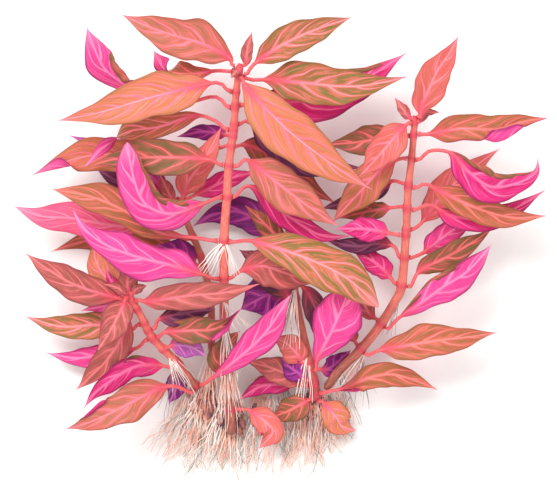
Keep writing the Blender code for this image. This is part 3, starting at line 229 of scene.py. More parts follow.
# Small leaves, fused to their stem in the solids.
smallLeaves = {
    "main_bud_up": leaf("roseBrown", "roseBrown", 4.8, [(-15.6, 74.4, 43), (-13, 80.5, 44),
        (-11.2, 87.6, 44)], wave=(0.2, 1.0, 0.0), stalk=0.5),
    "main_bud_down": leaf("roseBrown", "magenta", 3.6, [(-16, 73, 43), (-17.6, 71.8, 46),
        (-19.6, 69.2, 47)], stalk=0.5),
    "main_4_back": leaf("paintedShadePlum", "paintedShadeViolet", 6.5, [(-18.8, 46, 39.5), (-22.4, 47, 31), (-27.2, 47.8, 28.5),
        (-33, 48, 28), (-41.2, 46, 27)], roll=turned),
    "main_5_right": leaf("oliveBrown", "magenta", 14, [(-19.4, 42, 39), (-13, 42.8, 30), (-5, 39.4, 22),
        (3, 34.4, 17), (14, 24.8, 13), (22.4, 19.6, 11)]),
    "main_9_right": leaf("roseBrown", "magenta", 16, [(-22.4, -10.8, 27.5), (-14.8, -7.2, 29),
        (-7.2, -5.6, 28), (2, -8.4, 27), (15.2, -12.8, 25)]),
    "main_11_left": leaf("oliveBrown", "magenta", 11, [(-21.2, -48, 13), (-23.6, -43, 19),
        (-20.5, -36.5, 21), (-16, -31.6, 20)], stalk=2),
    "main_12_right": leaf("salmon", "magenta", 10.5, [(-20.2, -63.4, 9.2), (-12, -64, 12), (-5.2, -69, 13),
        (-3, -73, 12), (-8.8, -79.6, 9)]),
    "right_bud_left": leaf("roseBrown", "magenta", 4.2, [(54, 53.6, 34.5), (49, 57, 36), (46, 61.6, 36)],
        stalk=0.5),
    "right_bud_right": leaf("roseBrown", "magenta", 3.6, [(54, 52.4, 34.4), (58.5, 55.8, 34),
        (63.6, 55.6, 33.5)], stalk=0.5),
    "right_3_left": leaf("paintedShadePlum", "paintedShadeUnderside", 9, [(51.6, 27, 31.5), (44.8, 28.4, 27), (38, 24.8, 24),
        (27.2, 20, 20), (16, 17.2, 18)], roll=turned),
    "right_4_left": leaf("oliveBrown", "magenta", 7.5, [(51, 17.6, 30), (43.2, 17.6, 26), (34, 16, 20),
        (24, 13.6, 16)]),
    "right_6_left": leaf("paintedShadePlum", "paintedShadeUnderside", 8, [(50, -2, 27.5), (45.6, 2.4, 25), (39.2, 3.6, 23),
        (30, 2.4, 21), (18, 4.8, 19)], roll=(150, 160, 170)),
    "right_8_left": leaf("roseBrown", "magenta", 7, [(40.6, -29, 20), (36, -24.8, 16), (33.2, -20, 14),
        (28.8, -12, 11)], stalk=2),
    "right_9_left": leaf("roseBrown", "magenta", 6, [(32.6, -39, 17), (29.6, -34.8, 15.5),
        (25.2, -26.4, 14)], stalk=2),
    "middle_0_left": leaf("oliveBrown", "magenta", 11, [(14.4, -58, 8.6), (8.8, -61.2, 13),
        (2.8, -64.4, 11), (-4, -66.8, 8)], stalk=2),
    "middle_0_down": leaf("orangeTan", "magenta", 12, [(14.8, -59.8, 8), (19, -62.4, 11),
        (22.8, -66.8, 10.5), (25.2, -70.4, 8), (30.8, -72.4, 6)], stalk=2),
    "middle_1_right": leaf("paintedShadePlum", "paintedShadeViolet", 8, [(12.8, -48, 12.2), (20.5, -46.6, 12), (28.4, -39.6, 10)],
        roll=turned, stalk=2),
    "middle_1_low": leaf("paintedShadePlum", "magenta", 8, [(13.2, -53.6, 10.5), (4, -53.6, 9), (-7.2, -54, 8),
        (-16.8, -60, 7)], roll=turned),
    "middle_2_left": leaf("salmon", "magenta", 11, [(12, -44.2, 13.1), (6.4, -40.4, 17.5), (2, -36.4, 19),
        (-3.2, -34.4, 19)], stalk=2),
    "middle_1_back": leaf("paintedShadePlum", "paintedShadeViolet", 9, [(12.8, -51, 11.3), (8.2, -49.3, 15), (4.2, -46.4, 16),
        (0.4, -42.2, 15.4)], roll=turned, stalk=2),
    "middle_4_up": leaf("paintedShadePlum", "paintedShadeViolet", 15, [(6.6, -19, 16.5), (0, -12, 20), (-8, -4.5, 21),
        (-16.4, 1, 20)], stalk=2),
    "middle_4_right": leaf("paintedShadePlum", "paintedShadeViolet", 10, [(5.6, -13, 17), (11.6, -17, 20), (16, -27, 17.5),
        (17.4, -36, 14), (17, -43, 12)], stalk=2),
    "middle_5_up": leaf("oliveBrown", "magenta", 8.5, [(4.4, 1.6, 18.3), (-1.6, 6.4, 20), (-7.2, 12.4, 22),
        (-14, 18.8, 22)], stalk=2),
    "middle_4_left": leaf("paintedShadePlum", "paintedShadeViolet", 19, [(6.6, -19, 16.5), (-4, -17.2, 12), (-16, -23.2, 10)],
        roll=turned, stalk=3),
    "left_bud_up": leaf("roseBrown", "magenta", 8, [(-61, -16.8, 27), (-61.2, -13.2, 28), (-59.2, -4, 28)],
        stalk=1),
    "left_bud_pink": leaf("paintedShadePlum", "magenta", 5, [(-61, -16.8, 27), (-66, -14.4, 24), (-70, -7, 20)],
        roll=turned, stalk=1),
    "left_bud_left": leaf("roseBrown", "magenta", 4, [(-61, -17, 27), (-64.5, -14.6, 29),
        (-70.4, -12.8, 29)], stalk=0.5),
    "left_bud_right": leaf("roseBrown", "magenta", 4, [(-60.6, -17, 27), (-57, -14.6, 29),
        (-53.2, -13.6, 29)], stalk=0.5),
    "left_1_back": leaf("paintedShadePlum", "hotPink", 5, [(-60, -19.6, 26.6), (-70.8, -21.6, 22), (-79.6, -23.6, 20)],
        roll=turned, stalk=3),
    "left_2_low": leaf("roseBrown", "lilac", 10, [(-47, -39.4, 18), (-42, -37.2, 21), (-36, -38, 22),
        (-29.5, -41.6, 20)], roll=turned, stalk=2),
    "left_3_down": leaf("paintedShadePlum", "paintedShadeViolet", 8.5, [(-41.2, -45.4, 14.4), (-41.6, -53.2, 9), (-44.8, -61.6, 5)],
        roll=turned, stalk=3),
    "back_bud": leaf("roseBrown", "magenta", 5.5, [(-41.4, 21.4, 21), (-45.2, 24.8, 23), (-48, 30.8, 24)],
        stalk=1),
    "back_0_right": leaf("paintedShadePlum", "magenta", 8.5, [(-41, 20, 20.6), (-30, 24.8, 24), (-19.2, 29.6, 25),
        (-9.2, 32.4, 25)], roll=turned),
    "back_3_up": leaf("paintedShadePlum", "paintedShadeViolet", 12, [(-31, -5, 15.4), (-39, -1.4, 18), (-49.6, 3, 16)], roll=turned,
        stalk=2.5),
}
everyLeaf = {**leaves, **smallLeaves}
for name, spec in everyLeaf.items():
    spec["stem"] = "stem_" + name.split("_")[0]
print("tables read:", len(leaves), "leaves and", len(smallLeaves), "small ones")

# The colours of a leaf's face, and how strongly it shows patches, veins, a dark margin and pale vein lines.
# The pale colour is painted highlight on the strokes and in the side veins, and the midrib's own pale line.
lookColumns = ("base", "streak", "pale", "patch", "vein", "margin", "patches", "veins", "margins", "paleCoresAndGlint")
leafLooks = {
    "salmonOlive": ("#D56D64", "#B35847", "#F78D90", "#946844", "#F77988", "#925038", 0.6, 0.9, 0.7, 0.8),
    "tanOlive": ("#CA6F57", "#A75C3A", "#F79D9C", "#7A6830", "#F7838E", "#825A2A", 1.0, 1.0, 0.75, 0.95),
    "orangeTan": ("#DE7662", "#C36647", "#F7A1A0", "#AA7442", "#F77388", "#9C6234", 0.55, 0.95, 0.75, 0.9),
    "brownStreak": ("#CD6654", "#A54F39", "#F48D82", "#8B6032", "#F57C78", "#87502A", 0.75, 0.8, 0.7, 0.65),
    "roseBrown": ("#C65D5A", "#984346", "#EF8584", "#87503D", "#F28386", "#7D3A39", 0.6, 0.55, 0.7, 0.4),
    "salmon": ("#E36666", "#C5504C", "#F49494", "#BC6E53", "#F4828E", "#AE5643", 0.45, 0.8, 0.6, 0.7),
    "oliveBrown": ("#B2584A", "#88463A", "#E0746E", "#67582D", "#EE706E", "#694623", 0.9, 0.85, 0.7, 0.7),
    # Painted shade: the plum look is a leaf face darkened to the brown-purple shade it lies in under other
    # leaves.
    "paintedShadePlum": ("#8A4048", "#60283E", "#B85C68", "#4A2A3C", "#C4606C", "#44222E", 0.8, 0.6, 0.6, 0.4),
    "hotPink": ("#EE4A90", "#C42A72", "#F788BE", "#D83C86", "#FF8FB4", "#8A1C5A", 0.75, 0.65, 0.75, 0.5),
    "magenta": ("#E02C7C", "#A4164F", "#FB72AE", "#CE176C", "#FF7EA6", "#741248", 0.6, 0.7, 0.7, 0.5),
    # Painted shade: violet is the pink underside darkened to its deep purple shade, and the plum underside
    # below is the same shade on a darker face.
    "paintedShadeViolet": ("#A0228A", "#6A145E", "#C84CA0", "#561458", "#D466B0", "#4C0E40", 0.7, 0.55, 0.6, 0.4),
    "paintedShadeUnderside": ("#7E3A5C", "#542040", "#A25880", "#46203E", "#B46A8C", "#421830", 0.6, 0.5, 0.6, 0.4),
    "lilac": ("#BE5EAC", "#943E8B", "#DC90CA", "#A54B9C", "#E29ACC", "#7B2F74", 0.5, 0.6, 0.6, 0.5),
    "salmonPink": ("#F05D84", "#DB456E", "#FA92AC", "#EE7393", "#FA94AE", "#C64161", 0.5, 0.7, 0.6, 0.6),
}


def toLinear(code):
    channels = [int(code[i : i + 2], 16) / 255 for i in (1, 3, 5)]
    return (*[c / 12.92 if c < 0.04045 else ((c + 0.055) / 1.055) ** 2.4 for c in channels], 1)


def addNode(tree, kind, links=None, **settings):
    node = tree.nodes.new("ShaderNode" + kind)
    for name, value in settings.items():
        setattr(node, name, value)
    for name, value in (links or {}).items():
        if isinstance(value, bpy.types.NodeSocket):
            tree.links.new(value, node.inputs[name])
        else:
            node.inputs[name].default_value = value
    return node


def newMaterial(name):
    material = bpy.data.materials.new(name)
    material.use_nodes = True
    return material, material.node_tree, material.node_tree.nodes["Principled BSDF"]


def layColours(tree, code, coats):
    # one colour after another over the first, each where its mask is bright and as strong as it says
    colour = toLinear(code)
    for mask, code, strength in coats:
        amount = addNode(tree, "Math", {0: mask, 1: strength}, operation="MULTIPLY").outputs[0]
        layer = {0: amount, 6: colour, 7: toLinear(code)}
        colour = addNode(tree, "Mix", layer, data_type="RGBA").outputs[2]
    return colour


blade = {"thickness": 0.36, "cup": 10, "stalkRadius": 0.75, "veinGap": 11.5}
# Strokes and blotches: how fine across the veins, from midrib to margin and from leaf to leaf, and the two
# values of the noise between which they fade in.
strokes = {
    "dark": ((11.0, 0.9, 1.0), 0.47, 0.62),
    # pale: strokes of painted highlight along the veins
    "pale": ((9.0, 0.8, 3.0), 0.55, 0.68),
    "patch": ((1.7, 1.5, 1.7), 0.40, 0.52),
    "shade": ((1.1, 0.9, 2.3), 0.38, 0.62),
    # glint: where a painted highlight shows in the side-vein cores
    "glint": ((2.6, 2.2, 4.1), 0.42, 0.6),
}
stalkColour = "#D8445A"  # spreads from the petiole into the blade


def leafMaterial(name, look):
    # Living leaf of a water plant: thin waxy skin over pulp, so a soft broad shine, with long pink veins that
    # bend towards the tip, fine dark strokes and pale strokes of painted highlight beside them, and
    # brown-green blotches between them.
    material, tree, shader = newMaterial(name)
    vein = addNode(tree, "Attribute", attribute_name="vein").outputs["Vector"]
    place = addNode(tree, "Attribute", attribute_name="blade").outputs["Vector"]
    phase, side, share = addNode(tree, "SeparateXYZ", {0: vein}).outputs
    along, across, seed = addNode(tree, "SeparateXYZ", {0: place}).outputs
    out = addNode(tree, "Math", {0: side}, operation="ABSOLUTE").outputs[0]
    acrossMm = addNode(tree, "Math", {0: across}, operation="ABSOLUTE").outputs[0]

    # the veins waver by a fifth of their spacing
    waver = addNode(tree, "TexNoise", {"Vector": place, "Scale": 0.11, "Detail": 1.0}).outputs["Fac"]
    wavy = addNode(tree, "Math", {0: waver, 1: 0.5, 2: phase}, operation="MULTIPLY_ADD").outputs[0]
    fromVein = addNode(tree, "Math", {0: wavy, 1: 0.5}, operation="PINGPONG").outputs[0]
    run = addNode(tree, "CombineXYZ", {0: wavy, 1: out, 2: seed}).outputs[0]
    ranges = []
    for key, (scale, low, high) in strokes.items():
        stretched = addNode(tree, "Mapping", {"Vector": run, "Scale": scale}).outputs[0]
        grain = {"Vector": stretched, "Scale": 1.5, "Detail": 3.0, "Roughness": 0.6}
        noise = addNode(tree, "TexNoise", grain).outputs["Fac"]
        ranges.append((key, noise, low, high, 0.0, 1.0))

    # the veins and the pale lines in them, painted highlight in the side veins, get narrower towards the
    # margin, and the midrib's towards the tip
    widths = {}
    for key, value, slope, start in (("band", out, -0.09, 0.15), ("core", out, -0.05, 0.07),
                                     ("rib", share, -0.9, 1.25), ("ribCore", share, -0.35, 0.5)):
        width = addNode(tree, "Math", {0: value, 1: slope, 2: start}, operation="MULTIPLY_ADD")
        widths[key] = width.outputs[0]
    ranges += [
        ("fade", out, 0.5, 0.98, 1.0, 0.15),
        ("band", fromVein, 0.02, widths["band"], 1.0, 0.0),
        ("core", fromVein, 0.0, widths["core"], 1.0, 0.0),
        ("rib", acrossMm, 0.15, widths["rib"], 1.0, 0.0),
        ("ribCore", acrossMm, 0.05, widths["ribCore"], 1.0, 0.0),
        ("pastBase", share, 0.05, 0.4, 0.0, 1.0),
        ("between", fromVein, 0.09, 0.26, 0.0, 1.0),
        ("offRib", out, 0.02, 0.3, 0.3, 1.0),
        ("rim", out, 0.8, 0.97, 0.0, 1.0),
        ("base", share, 0.35, 0.02, 0.0, 1.0),
        ("byRib", acrossMm, 3.5, 0.3, 0.0, 1.0),
        ("tip", share, 0.8, 1.0, 0.0, 1.0),
    ]
    masks = {}
    for key, value, low, high, start, end in ranges:
        reach = {"Value": value, "From Min": low, "From Max": high, "To Min": start, "To Max": end}
        masks[key] = addNode(tree, "MapRange", reach, interpolation_type="SMOOTHSTEP").outputs[0]
    for key, operation, first, second in (
        ("band", "MULTIPLY", "band", "fade"), ("veins", "MAXIMUM", "band", "rib"),
        ("core", "MULTIPLY", "core", "fade"), ("core", "MULTIPLY", "core", "glint"),
        ("ribCore", "MULTIPLY", "ribCore", "pastBase"), ("paleCoresAndGlint", "MAXIMUM", "core", "ribCore"),
        ("patch", "MULTIPLY", "patch", "between"), ("patch", "MULTIPLY", "patch", "offRib"),
        ("rosy", "MULTIPLY", "base", "byRib"),
    ):
        pair = {0: masks[first], 1: masks[second]}
        masks[key] = addNode(tree, "Math", pair, operation=operation).outputs[0]

    # The pale strokes and the glint in the side-vein cores are painted highlight laid into the colour.
    colour = layColours(tree, look["base"], [
        (masks["shade"], look["streak"], 0.6), (masks["patch"], look["patch"], look["patches"]),
        (masks["dark"], look["streak"], 0.5), (masks["pale"], look["pale"], 0.5),
        (masks["tip"], look["vein"], 0.5), (masks["rim"], look["margin"], look["margins"]),
        (masks["veins"], look["vein"], look["veins"]), (masks["paleCoresAndGlint"], look["pale"], look["paleCoresAndGlint"]),
        (masks["rosy"], stalkColour, 0.8),
    ])
    # one leaf is a little lighter or darker than the next
    lighter = {"Value": seed, "From Max": 90.0, "To Min": 0.93, "To Max": 1.07}
    value = addNode(tree, "MapRange", lighter).outputs[0]
    colour = addNode(tree, "HueSaturation", {"Color": colour, "Value": value}).outputs[0]
    tree.links.new(colour, shader.inputs["Base Color"])
    wax = addNode(tree, "MapRange", {"Value": masks["dark"], "To Min": 0.44, "To Max": 0.6}).outputs[0]
    tree.links.new(wax, shader.inputs["Roughness"])
    strokesLow = {0: masks["dark"], 1: -0.3, 2: masks["veins"]}
    relief = addNode(tree, "Math", strokesLow, operation="MULTIPLY_ADD").outputs[0]
    bump = addNode(tree, "Bump", {"Height": relief, "Strength": 0.5, "Distance": 0.22 * mm})
    tree.links.new(bump.outputs[0], shader.inputs["Normal"])
    shader.inputs["IOR"].default_value = 1.42
    shader.inputs["Specular IOR Level"].default_value = 0.3
    return material


def ease(a, b, t):
    t = min(max(t, 0.0), 1.0)
    return a + (b - a) * t * t * (3 - 2 * t)


def smoothRoute(points, count):
    # evenly spaced points on a Catmull-Rom curve
    ends = [2 * points[0] - points[1], *points, 2 * points[-1] - points[-2]]
    fine, steps = [], 12
    for before, start, end, after in zip(ends, ends[1:], ends[2:], ends[3:]):
        bend = 2 * before - 5 * start + 4 * end - after
        twist = 3 * start - before - 3 * end + after
        for step in range(steps):
            t = step / steps
            fine.append(0.5 * (2 * start + (end - before) * t + bend * t**2 + twist * t**3))
    fine.append(points[-1].copy())
    lengths = [0.0]
    for start, end in zip(fine, fine[1:]):
        lengths.append(lengths[-1] + (end.xyz - start.xyz).length)
    route, segment = [], 1
    for index in range(count):
        goal = lengths[-1] * index / (count - 1)
        while lengths[segment] < goal - 1e-6:
            segment += 1
        share = (goal - lengths[segment - 1]) / (lengths[segment] - lengths[segment - 1])
        route.append(fine[segment - 1].lerp(fine[segment], share))
    return route


def routeAt(route, share):
    place = min(max(share, 0.0), 1.0) * (len(route) - 1)
    index = min(int(place), len(route) - 2)
    return route[index].lerp(route[index + 1], place - index)


def directionAt(route, share):
    return (routeAt(route, share + 0.02) - routeAt(route, share - 0.02)).xyz.normalized()


def lengthOf(route):
    return sum((end.xyz - start.xyz).length for start, end in zip(route, route[1:]))


def nearestIndex(route, place):
    return min(range(len(route)), key=lambda index: (route[index].xyz - place).length)


routePlaces = {"stem": 121, "leaf": 101}
stemRoutes = {}
for name, points in stems.items():
    stemRoutes[name] = smoothRoute([Vector(point) for point in points], routePlaces["stem"])
joints = {"swell": 1.28, "gap": 0.2, "shoulder": 1.5, "smallShoulder": 0.6}


def leafRoute(spec, small):
    # the midrib leaves its stem at a right angle, a small leaf's from inside it and a large one's from just
    # off its skin
    route = stemRoutes[spec["stem"]]
    index = nearestIndex(route, spec["points"][0])
    centre, radius = route[index].xyz, route[index].w * joints["swell"]
    along = directionAt(route, index / (len(route) - 1))
    outward = spec["points"][1] - centre
    outward = (outward - along * outward.dot(along)).normalized()
    start = centre + outward * (radius * 0.6 if small else radius + joints["gap"])
    shoulder = centre + outward * (radius + joints["smallShoulder" if small else "shoulder"])
    return smoothRoute([start, shoulder, *spec["points"][1:]], routePlaces["leaf"])


def unitMesh(bm):
    mesh = bpy.data.meshes.new("unit")
    bm.to_mesh(mesh)
    bm.free()
    return mesh


def unitTube(sides, rings):
    # a cylinder of radius 1 from z = 0 to 1, cut into rings and ready to be bent
    bm = bmesh.new()
    bmesh.ops.create_cone(bm, cap_ends=True, segments=sides, radius1=1, radius2=1, depth=1)
    bmesh.ops.translate(bm, verts=bm.verts, vec=(0, 0, 0.5))
    lengthwise = [edge for edge in bm.edges if abs(edge.verts[0].co.z - edge.verts[1].co.z) > 0.5]
    bmesh.ops.subdivide_edges(bm, edges=lengthwise, cuts=rings - 1, use_grid_fill=True)
    return unitMesh(bm)


def unitSheet(along, across):
    bm = bmesh.new()
    bmesh.ops.create_grid(bm, x_segments=along, y_segments=across, size=0.5)
    return unitMesh(bm)


def addUnit(bm, mesh):
    # the vertices and faces of one more copy
    firstVert, firstFace = len(bm.verts), len(bm.faces)
    bm.from_mesh(mesh)
    bm.verts.ensure_lookup_table()
    bm.faces.ensure_lookup_table()
    return bm.verts[firstVert:], bm.faces[firstFace:]


def attributes(bm):
    return bm.verts.layers.float_vector["vein"], bm.verts.layers.float_vector["blade"]


def bendTube(bm, mesh, rings, sectionAt, material):
    # sectionAt gives the centre, side, rise and radius of a ring, and the values of its two attributes
    verts, faces = addUnit(bm, mesh)
    sections = [sectionAt(ring / rings) for ring in range(rings + 1)]
    veinLayer, bladeLayer = attributes(bm)
    for vertex in verts:
        centre, side, rise, radius, vein, place = sections[round(vertex.co.z * rings)]
        vertex[veinLayer], vertex[bladeLayer] = vein, place
        vertex.co = (centre + (side * vertex.co.x + rise * vertex.co.y) * radius) * mm
    for face in faces:
        face.material_index = material
    return verts


def newShape():
    bm = bmesh.new()
    bm.verts.layers.float_vector.new("vein")
    bm.verts.layers.float_vector.new("blade")
    return bm


def bladeProfile(t, widest, point):
    # the share of the greatest half width at t along the blade
    if t <= 0 or t >= 1:
        return 0.0
    rise = 1.05 * widest / (1 - widest)
    tip = (1 - t) / (1 - widest)
    drawnOut = 0.35 * point * (1 + (t - widest) / (1 - widest))
    taper = tip**1.05 if t < widest else tip ** (0.7 + drawnOut)
    return (t / widest) ** rise * taper * ease(0.45, 1, t / 0.16)


def leafFrame(spec, route, share, t):
    # the midrib's place, and the directions across the blade and out of its upper face
    start, middle, end = spec["roll"]
    roll = ease(start, middle, t / 0.5) if t < 0.5 else ease(middle, end, (t - 0.5) / 0.4)
    along = directionAt(route, share)
    across = up.cross(along).normalized()
    turn = Quaternion(along, math.radians(roll))
    return routeAt(route, share), turn @ across, turn @ along.cross(across)


# How far along the blade a fold fades, how far across it turns, and how much it broadens the blade.
fold = {"ends": 0.12, "turn": 0.13, "broader": 0.7}


def sideAt(spec, t, side, seed):
    # the uneven half width of one side, and how far, in which direction and from where it is folded
    uneven = 1 + 0.06 * math.sin(13 * t + seed + 2.4 * side) + 0.03 * math.sin(31 * t + 1.7 * seed + side)
    for where, amount, waves, shift in spec["outline"]:
        if where == side:
            uneven += amount * math.sin(2 * math.pi * (waves * t + shift)) * (1 - t)
    folded, direction, foldStart = 0.0, 0.0, 1.0
    for where, start, end, angle, first, last in spec["folds"]:
        if where == side:
            folded = ease(0, 1, (t - first) / fold["ends"]) * (1 - ease(0, 1, (t - last) / fold["ends"]))
            direction = angle
            foldStart = ease(start, end, (t - first) / (last - first))
            uneven *= 1 + fold["broader"] * (1 / max(foldStart, 0.5) - 1) * folded
    width = spec["width"] / 2 * bladeProfile(t, spec["widest"], spec["point"])
    return width * (1 + spec["lean"] * (1 - 2 * side)) * uneven, folded, direction, foldStart


def leafPoints(spec, route, seed, alongCount, acrossCount):
    # rows of (point, vein attribute, blade attribute), from the petiole to the tip
    length = lengthOf(route)
    petiole = spec["stalk"] / length
    bladeLength = length - spec["stalk"]
    half = acrossCount // 2
    height, count, phase = spec["wave"]
    veinCount = max(3.4, bladeLength / blade["veinGap"])
    rows = []
    for i in range(alongCount + 1):
        t = i / alongCount
        centre, across, normal = leafFrame(spec, route, petiole + (1 - petiole) * t, t)
        opened = ease(0, 1, t / 0.2)
        row = [None] * (acrossCount + 1)
        for side in (0, 1):
            halfWidth, folded, direction, foldStart = sideAt(spec, t, side, seed)
            halfWidth = max(blade["stalkRadius"] * min(1.0, 1 - t), halfWidth)
            out = rise = 0.0
            for j in range(half + 1):
                u = j / half
                if j:
                    rolled = blade["cup"] + spec["curl"][side] * ease(0, 1, (u - 0.5) / 0.45)
                    rolled *= opened
                    rolled += (direction - rolled) * folded * ease(0, 1, (u - foldStart) / fold["turn"])
                    out += math.cos(math.radians(rolled)) * halfWidth / half
                    rise += math.sin(math.radians(rolled)) * halfWidth / half
                veinPhase = veinCount * (t - 0.2 * u - 0.12 * u * u) + 0.5 * side
                ripple = math.sin(2 * math.pi * (count * t + 0.5 * side) + phase)
                ripple += 0.5 * math.sin(2 * math.pi * (2.6 * count * t + 0.3 * side) + 3 * phase + seed)
                lift = height * ripple * u * u * opened * (1 - t**3)
                # a shallow furrow beside each vein
                furrow = math.cos(2 * math.pi * veinPhase) * math.sin(math.pi * min(1, u * 1.1))
                lift -= 0.3 * furrow * (1 - t) * opened
                sign = 1 - 2 * side
                point = centre + across * (sign * out) + normal * (rise + lift)
                point.z = max(point.z, blade["thickness"] / 2)
                place = (t * bladeLength, sign * u * halfWidth, seed * 7)
                row[half + sign * j] = (point, (veinPhase, sign * u, t), place)
        rows.append(row)
    return rows


rib = {"sides": 8, "rings": 28}
largeGrid, smallGrid = (60, 28), (30, 14)  # faces along and across a blade
sheets = {grid: unitSheet(*grid) for grid in (largeGrid, smallGrid)}
ribTube = unitTube(rib["sides"], rib["rings"])


def thicken(bm, uppers, veinLayer):
    # The wall is the same all over: the underside lies straight below the upper face, also in the folds.
    thickness = blade["thickness"] * mm
    bm.normal_update()
    above = {tuple(vertex[veinLayer]): vertex.co.copy() for face in uppers for vertex in face.verts}
    wall = {tuple(vertex[veinLayer]): vertex.normal * thickness for face in uppers for vertex in face.verts}
    before = set(bm.faces)
    bmesh.ops.solidify(bm, geom=list(uppers), thickness=thickness)
    tops = {vertex for face in uppers for vertex in face.verts}
    added = [face for face in bm.faces if face not in before]
    for face in added:
        face.material_index = 1
    for vertex in tops.union(*[face.verts for face in added]):
        place = tuple(vertex[veinLayer])
        vertex.co = above[place] if vertex in tops else above[place] - wall[place]


def shapeLeaf(bm, spec, seed, small):
    # faces: 0 upper, 1 under and the rib on it, 2 petiole
    grid = smallGrid if small else largeGrid
    alongCount, acrossCount = grid
    route = leafRoute(spec, small)
    length = lengthOf(route)
    petiole = spec["stalk"] / length
    rows = leafPoints(spec, route, seed, alongCount, acrossCount)
    veinLayer, bladeLayer = attributes(bm)
    verts, faces = addUnit(bm, sheets[grid])
    tipVerts = []
    for vertex in verts:
        i, j = round((vertex.co.x + 0.5) * alongCount), round((vertex.co.y + 0.5) * acrossCount)
        point, vertex[veinLayer], vertex[bladeLayer] = rows[i][j]
        vertex.co = point * mm
        if i == alongCount:
            tipVerts.append(vertex)
    bmesh.ops.pointmerge(bm, verts=tipVerts, merge_co=tipVerts[0].co)
    uppers = {face for face in faces if face.is_valid}
    bmesh.ops.recalc_face_normals(bm, faces=list(uppers))
    bm.normal_update()
    centre = rows[alongCount // 2][acrossCount // 2][0] * mm
    middle = min(uppers, key=lambda face: (face.calc_center_median() - centre).length)
    if middle.normal.dot(leafFrame(spec, route, petiole + (1 - petiole) * 0.5, 0.5)[2]) < 0:
        bmesh.ops.reverse_faces(bm, faces=list(uppers))
    thicken(bm, uppers, veinLayer)

    def ribSection(share):
        t = max(0.0, (share - petiole) / (1 - petiole))
        centre, side, rise = leafFrame(spec, route, share, t)
        foot = 1 + 0.5 * (1 - ease(0, 1, share * length / 1.6))
        radius = blade["stalkRadius"] * foot * (1 - 0.45 * ease(0, 1, t / 0.15)) * (1 - 0.8 * ease(0, 1, t))
        centre = centre - rise * ease(0, 0.5 * radius + 0.12, t / 0.1)
        centre.z = max(centre.z, radius)
        return centre, side, rise, radius, (share * length, 0, t), (t * length, 0, seed * 7)

    verts = bendTube(bm, ribTube, rib["rings"], ribSection, 2)
    for face in {face for vertex in verts for face in vertex.link_faces}:
        if min(vertex[veinLayer].z for vertex in face.verts) > 0.06:
            face.material_index = 1


def finishPiece(name, bm, materials, slot, *nodes):
    bmesh.ops.recalc_face_normals(bm, faces=bm.faces)
    mesh = bpy.data.meshes.new(name)
    bm.to_mesh(mesh)
    bm.free()
    mesh.shade_smooth()
    for material in materials:
        mesh.materials.append(material)
    piece = bpy.data.objects.new(name, mesh)
    bpy.context.scene.collection.objects.link(piece)
    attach(piece, "root")
    if nodes:
        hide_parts(*nodes)


petioleFinish, tree, shader = newMaterial("petiole")  # juicy stalk skin: smooth, a little glossy, coral pink
where = addNode(tree, "TexCoord").outputs["Object"]
grain = addNode(tree, "TexNoise", {"Vector": where, "Scale": 900.0, "Detail": 2.0}).outputs["Fac"]
tree.links.new(layColours(tree, "#D23A52", [(grain, "#EE7672", 1.0)]), shader.inputs["Base Color"])
shader.inputs["Roughness"].default_value = 0.42
shader.inputs["Specular IOR Level"].default_value = 0.35

leafFinishes = {name: leafMaterial(name, dict(zip(lookColumns, row))) for name, row in leafLooks.items()}
print("leaf finishes made:", len(leafFinishes))

for number, (name, spec) in enumerate(everyLeaf.items()):
    small = name in smallLeaves
    seed = 1 + number * 1.37 % 12  # no two leaves have the same edge or the same noise
    bm = newShape()
    shapeLeaf(bm, spec, seed, small)
    finish = [*[leafFinishes[face] for face in spec["faces"]], petioleFinish]
    mainSlot = "leaf_underside" if spec["roll"][1] > 90 else "leaf_upper_side"
    if small:
        finishPiece("smallLeaf_" + name, bm, finish, mainSlot)
    else:
        finishPiece("leafBlade_" + name, bm, finish, mainSlot, "leaf_" + name)
print("leaves made:", len(everyLeaf))

stem = {"sides": 16, "ringEvery": 0.9, "swellReach": 1.3}
stemAge = {"stem_back": 0.85, "stem_middle": 0.6, "stem_right": 0.3}  # how brown a whole stem is, 0 to 1


def stemMaterial():
    # Fleshy aquatic stem: smooth translucent skin, salmon with rose nodes, browner towards the roots.
    material, tree, shader = newMaterial("stem")
    vein = addNode(tree, "Attribute", attribute_name="vein").outputs["Vector"]
    along, around, age = addNode(tree, "SeparateXYZ", {0: vein}).outputs
    where = addNode(tree, "TexCoord").outputs["Object"]
    flecks = addNode(tree, "TexNoise", {"Vector": where, "Scale": 420.0, "Detail": 4.0, "Roughness": 0.7})
    flecks = {"Value": flecks.outputs["Fac"], "From Min": 0.5, "From Max": 0.68}
    flecks = addNode(tree, "MapRange", flecks).outputs[0]
    run = addNode(tree, "CombineXYZ", {0: along, 1: around}).outputs[0]
    run = addNode(tree, "Mapping", {"Vector": run, "Scale": (0.09, 1.3, 1.0)}).outputs[0]
    ridges = addNode(tree, "TexNoise", {"Vector": run, "Scale": 2.4, "Detail": 3.0}).outputs["Fac"]
    ridges = addNode(tree, "MapRange", {"Value": ridges, "From Min": 0.4, "From Max": 0.65}).outputs[0]
    streaks = addNode(tree, "MapRange", {"Value": ridges, "To Min": 0.5, "To Max": 0.95}).outputs[0]
    old = addNode(tree, "Math", {0: age, 1: streaks}, operation="MULTIPLY").outputs[0]
    ring = addNode(tree, "Attribute", attribute_name="blade").outputs["Vector"]
    ring = addNode(tree, "SeparateXYZ", {0: ring}).outputs[0]
    skin = layColours(tree, "#EE8272", [
        (ridges, "#D85C58", 1.0), (flecks, "#B84440", 0.45), (old, "#7E4C3C", 1.0), (ring, "#CC2E50", 0.75),
    ])
    tree.links.new(skin, shader.inputs["Base Color"])
    shader.inputs["Roughness"].default_value = 0.45
    shader.inputs["Specular IOR Level"].default_value = 0.35
    bump = addNode(tree, "Bump", {"Height": ridges, "Strength": 0.4, "Distance": 0.2 * mm})
    tree.links.new(bump.outputs[0], shader.inputs["Normal"])
    return material


